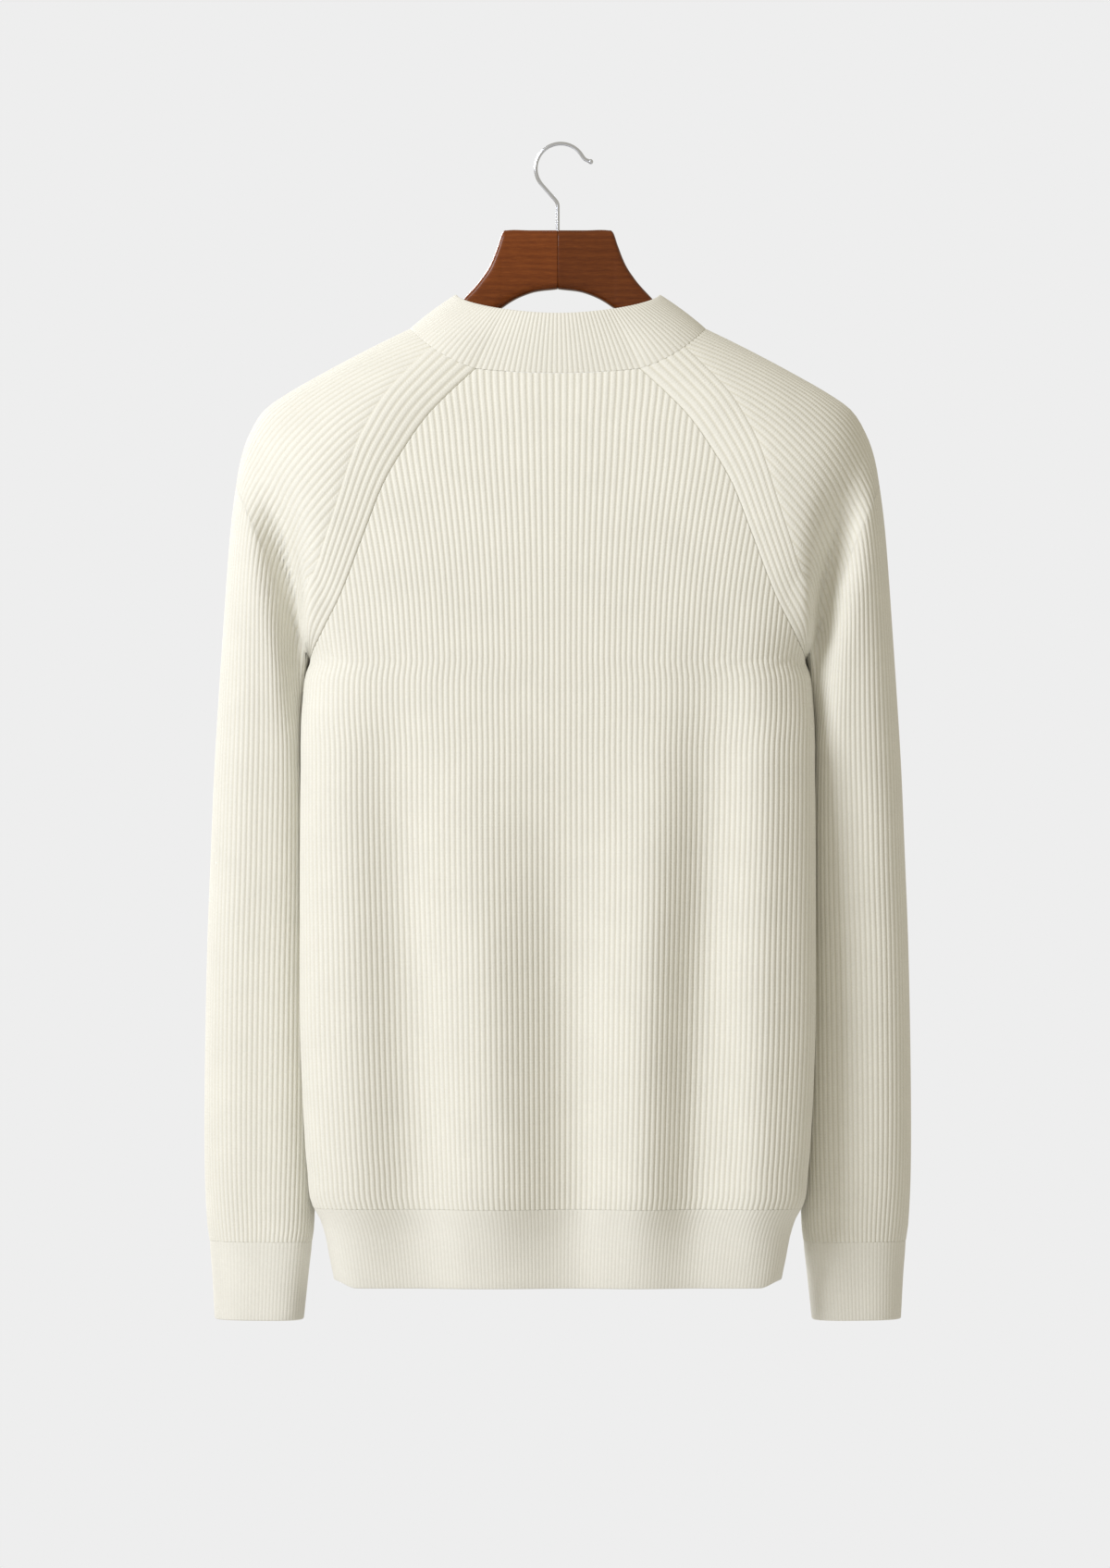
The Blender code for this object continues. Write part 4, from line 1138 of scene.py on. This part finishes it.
def tube_rings(line, radii, count=24):
    """Rings round a line in the plane y = 0, given as x, down."""
    tangent = unit(np.gradient(line, axis=0))
    side = np.stack([-tangent[:, 1], tangent[:, 0]], axis=1)
    angle = 2 * math.pi * np.arange(count) / count
    return [np.stack([p[0] + r * n[0] * np.cos(angle), r * np.sin(angle), p[1] + r * n[1] * np.cos(angle)],
                     axis=1) for p, n, r in zip(line, side, radii)]


def hook_piece(materials):
    """The bent wire, with a small ball turned on its free end."""
    angle = np.radians(np.linspace(*HOOK_ARC, 90))
    arc = HOOK_CENTRE + HOOK_RADIUS * np.stack([np.cos(angle), -np.sin(angle)], axis=1)
    corners = np.concatenate([HOOK_FLARE, arc, HOOK_STEM])
    at = lengths(corners)
    fine = np.linspace(0, at[-1], 330)
    line = np.stack([np.interp(fine, at, corners[:, 0]), np.interp(fine, at, corners[:, 1])], axis=1)
    weight = np.hanning(9)
    padded = np.pad(line, ((4, 4), (0, 0)), mode="reflect", reflect_type="odd")
    line = np.stack([np.convolve(padded[:, k], weight / weight.sum(), mode="valid") for k in (0, 1)], axis=1)
    turn = np.linspace(math.pi, 0.25 * math.pi, 12)
    ball = line[0] - np.outer(HOOK_BALL_RADIUS * np.cos(turn), unit(line[0] - line[1]))
    wire = line[2:]
    ball_radii = np.maximum(HOOK_BALL_RADIUS * np.sin(turn), 0.05)
    radii = np.concatenate([ball_radii, np.full(len(wire), WIRE_RADIUS)])
    points, loops, sizes = swept(tube_rings(np.concatenate([ball, wire]), radii))
    made = mesh_object("hook_wire", to_metres(points), loops, sizes, materials["metal"])
    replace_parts(made, "hook")


def finish_cad(materials):
    """Gives the buttons, which stay as their CAD nodes, their material."""
    for number in range(1, 5):
        obj = bpy.data.objects[f"button_{number}"]
        for slot in obj.material_slots:
            slot.link = "OBJECT"
            slot.material = materials["button"]
        if not obj.material_slots:
            obj.data.materials.append(materials["button"])


# ---------------------------------------------------------------- stage

AMBIENT = (0.52, 0.485, 0.40)
PAPER = 238                             # the background's grey, out of 255
KEY_POWER = 92.0
KEY_SIZE = (1.3, 1.6)
KEY_COLOUR = (0.965, 0.985, 1.04)
FLOOR_HALF_SIZE = 4.0
FLOOR_LEVEL = -2.2
SENSOR_WIDTH = 36.0
CAMERA_DISTANCE = 6.0
FRAME_HEIGHT = 1.1289                   # what the frame takes in at the sweater's distance
CAMERA_TARGET = (-0.002, 0.0, -0.4596)


def srgb(value):
    c = value / 255
    return c / 12.92 if c <= 0.04045 else ((c + 0.055) / 1.055) ** 2.4


def placed(name, data, place, target):
    """An object at one point that faces another."""
    obj = bpy.data.objects.new(name, data)
    bpy.context.scene.collection.objects.link(obj)
    obj.location = Vector(place)
    obj.rotation_mode = "QUATERNION"
    obj.rotation_quaternion = (Vector(target) - Vector(place)).to_track_quat("-Z", "Y")
    return obj


def key_light(name, place, target):
    light = bpy.data.lights.new(name, "AREA")
    light.shape = "RECTANGLE"
    light.size, light.size_y = KEY_SIZE
    light.energy = KEY_POWER
    light.color = KEY_COLOUR
    placed(name, light, place, target)


def stage():
    scene = bpy.context.scene
    world = bpy.data.worlds.new("studio")
    world.use_nodes = True
    tree = world.node_tree
    room = tree.nodes["Background"]
    room.inputs[0].default_value = (*AMBIENT, 1.0)
    room.inputs[1].default_value = 1.0
    paper = tree.nodes.new("ShaderNodeBackground")
    paper.inputs[0].default_value = (srgb(PAPER),) * 3 + (1.0,)
    mix = tree.nodes.new("ShaderNodeMixShader")
    path = tree.nodes.new("ShaderNodeLightPath")
    tree.links.new(path.outputs["Is Camera Ray"], mix.inputs[0])
    tree.links.new(room.outputs[0], mix.inputs[1])
    tree.links.new(paper.outputs[0], mix.inputs[2])
    tree.links.new(mix.outputs[0], tree.nodes["World Output"].inputs[0])
    scene.world = world
    scene.view_settings.view_transform = "Standard"
    floor = bpy.data.meshes.new("floor")
    corners = ((-1, -1), (1, -1), (1, 1), (-1, 1))
    floor.from_pydata([(x * FLOOR_HALF_SIZE, y * FLOOR_HALF_SIZE, FLOOR_LEVEL) for x, y in corners],
                      [], [(0, 1, 2, 3)])
    floor.materials.append(floor_material())
    floor_object = bpy.data.objects.new("floor", floor)
    scene.collection.objects.link(floor_object)
    # the key from the left of the view, and one like it for the garment's other side
    key_light("key", (-2.3, -2.3, 1.15), (0.0, 0.0, -0.35))
    key_light("key_front", (-1.8, 2.8, 1.0), (0.0, 0.0, -0.4))
    camera = bpy.data.cameras.new("camera")
    camera.type = "PERSP"
    camera.sensor_width = SENSOR_WIDTH
    camera.lens = SENSOR_WIDTH * CAMERA_DISTANCE / FRAME_HEIGHT
    camera.clip_end = 50.0
    place = Vector(CAMERA_TARGET) - Vector((0.0, CAMERA_DISTANCE, 0.0))
    scene.camera = placed("camera", camera, place, CAMERA_TARGET)


def main():
    # each yarn's stitch length, light colour, the colour of the painted shade in its grooves, depth of
    # groove and stitch, and fuzz
    rib_knit = (2.1, (0.87, 0.86, 0.80), (0.69, 0.66, 0.55), 0.3, 0.05, 0.17)
    # the hem's and cuffs' yarn is set a little darker than the body's, partly as painted shade
    felted_rib = (1.6, (0.83, 0.82, 0.765), (0.75, 0.73, 0.66), 0.15, 0.03, 0.19)
    collar_rib = (1.7, (0.86, 0.85, 0.79), (0.70, 0.67, 0.575), 0.25, 0.04, 0.17)
    materials = {
        "knit": knit_material("rib_knit", *rib_knit),
        "fine": knit_material("felted_rib", *felted_rib),
        "collar": knit_material("collar_rib", *collar_rib),
        "wood_left": wood_material("walnut_left", 1.0),
        # the right arm's wood is the same walnut darkened to 0.74 as painted shade
        "wood_right_painted_shade": wood_material("walnut_right_painted_shade", 0.74),
        "metal": metal_material(),
        "button": button_material(),
    }
    torso = torso_pieces(materials)
    sleeves = sleeve_pieces(materials)
    neck = neck_pieces(materials)
    for name, sign in (("hanger_arm_right", 1), ("hanger_arm_left", -1)):
        arm(name, sign, materials)
    hook_piece(materials)
    finish_cad(materials)
    stage()


main()
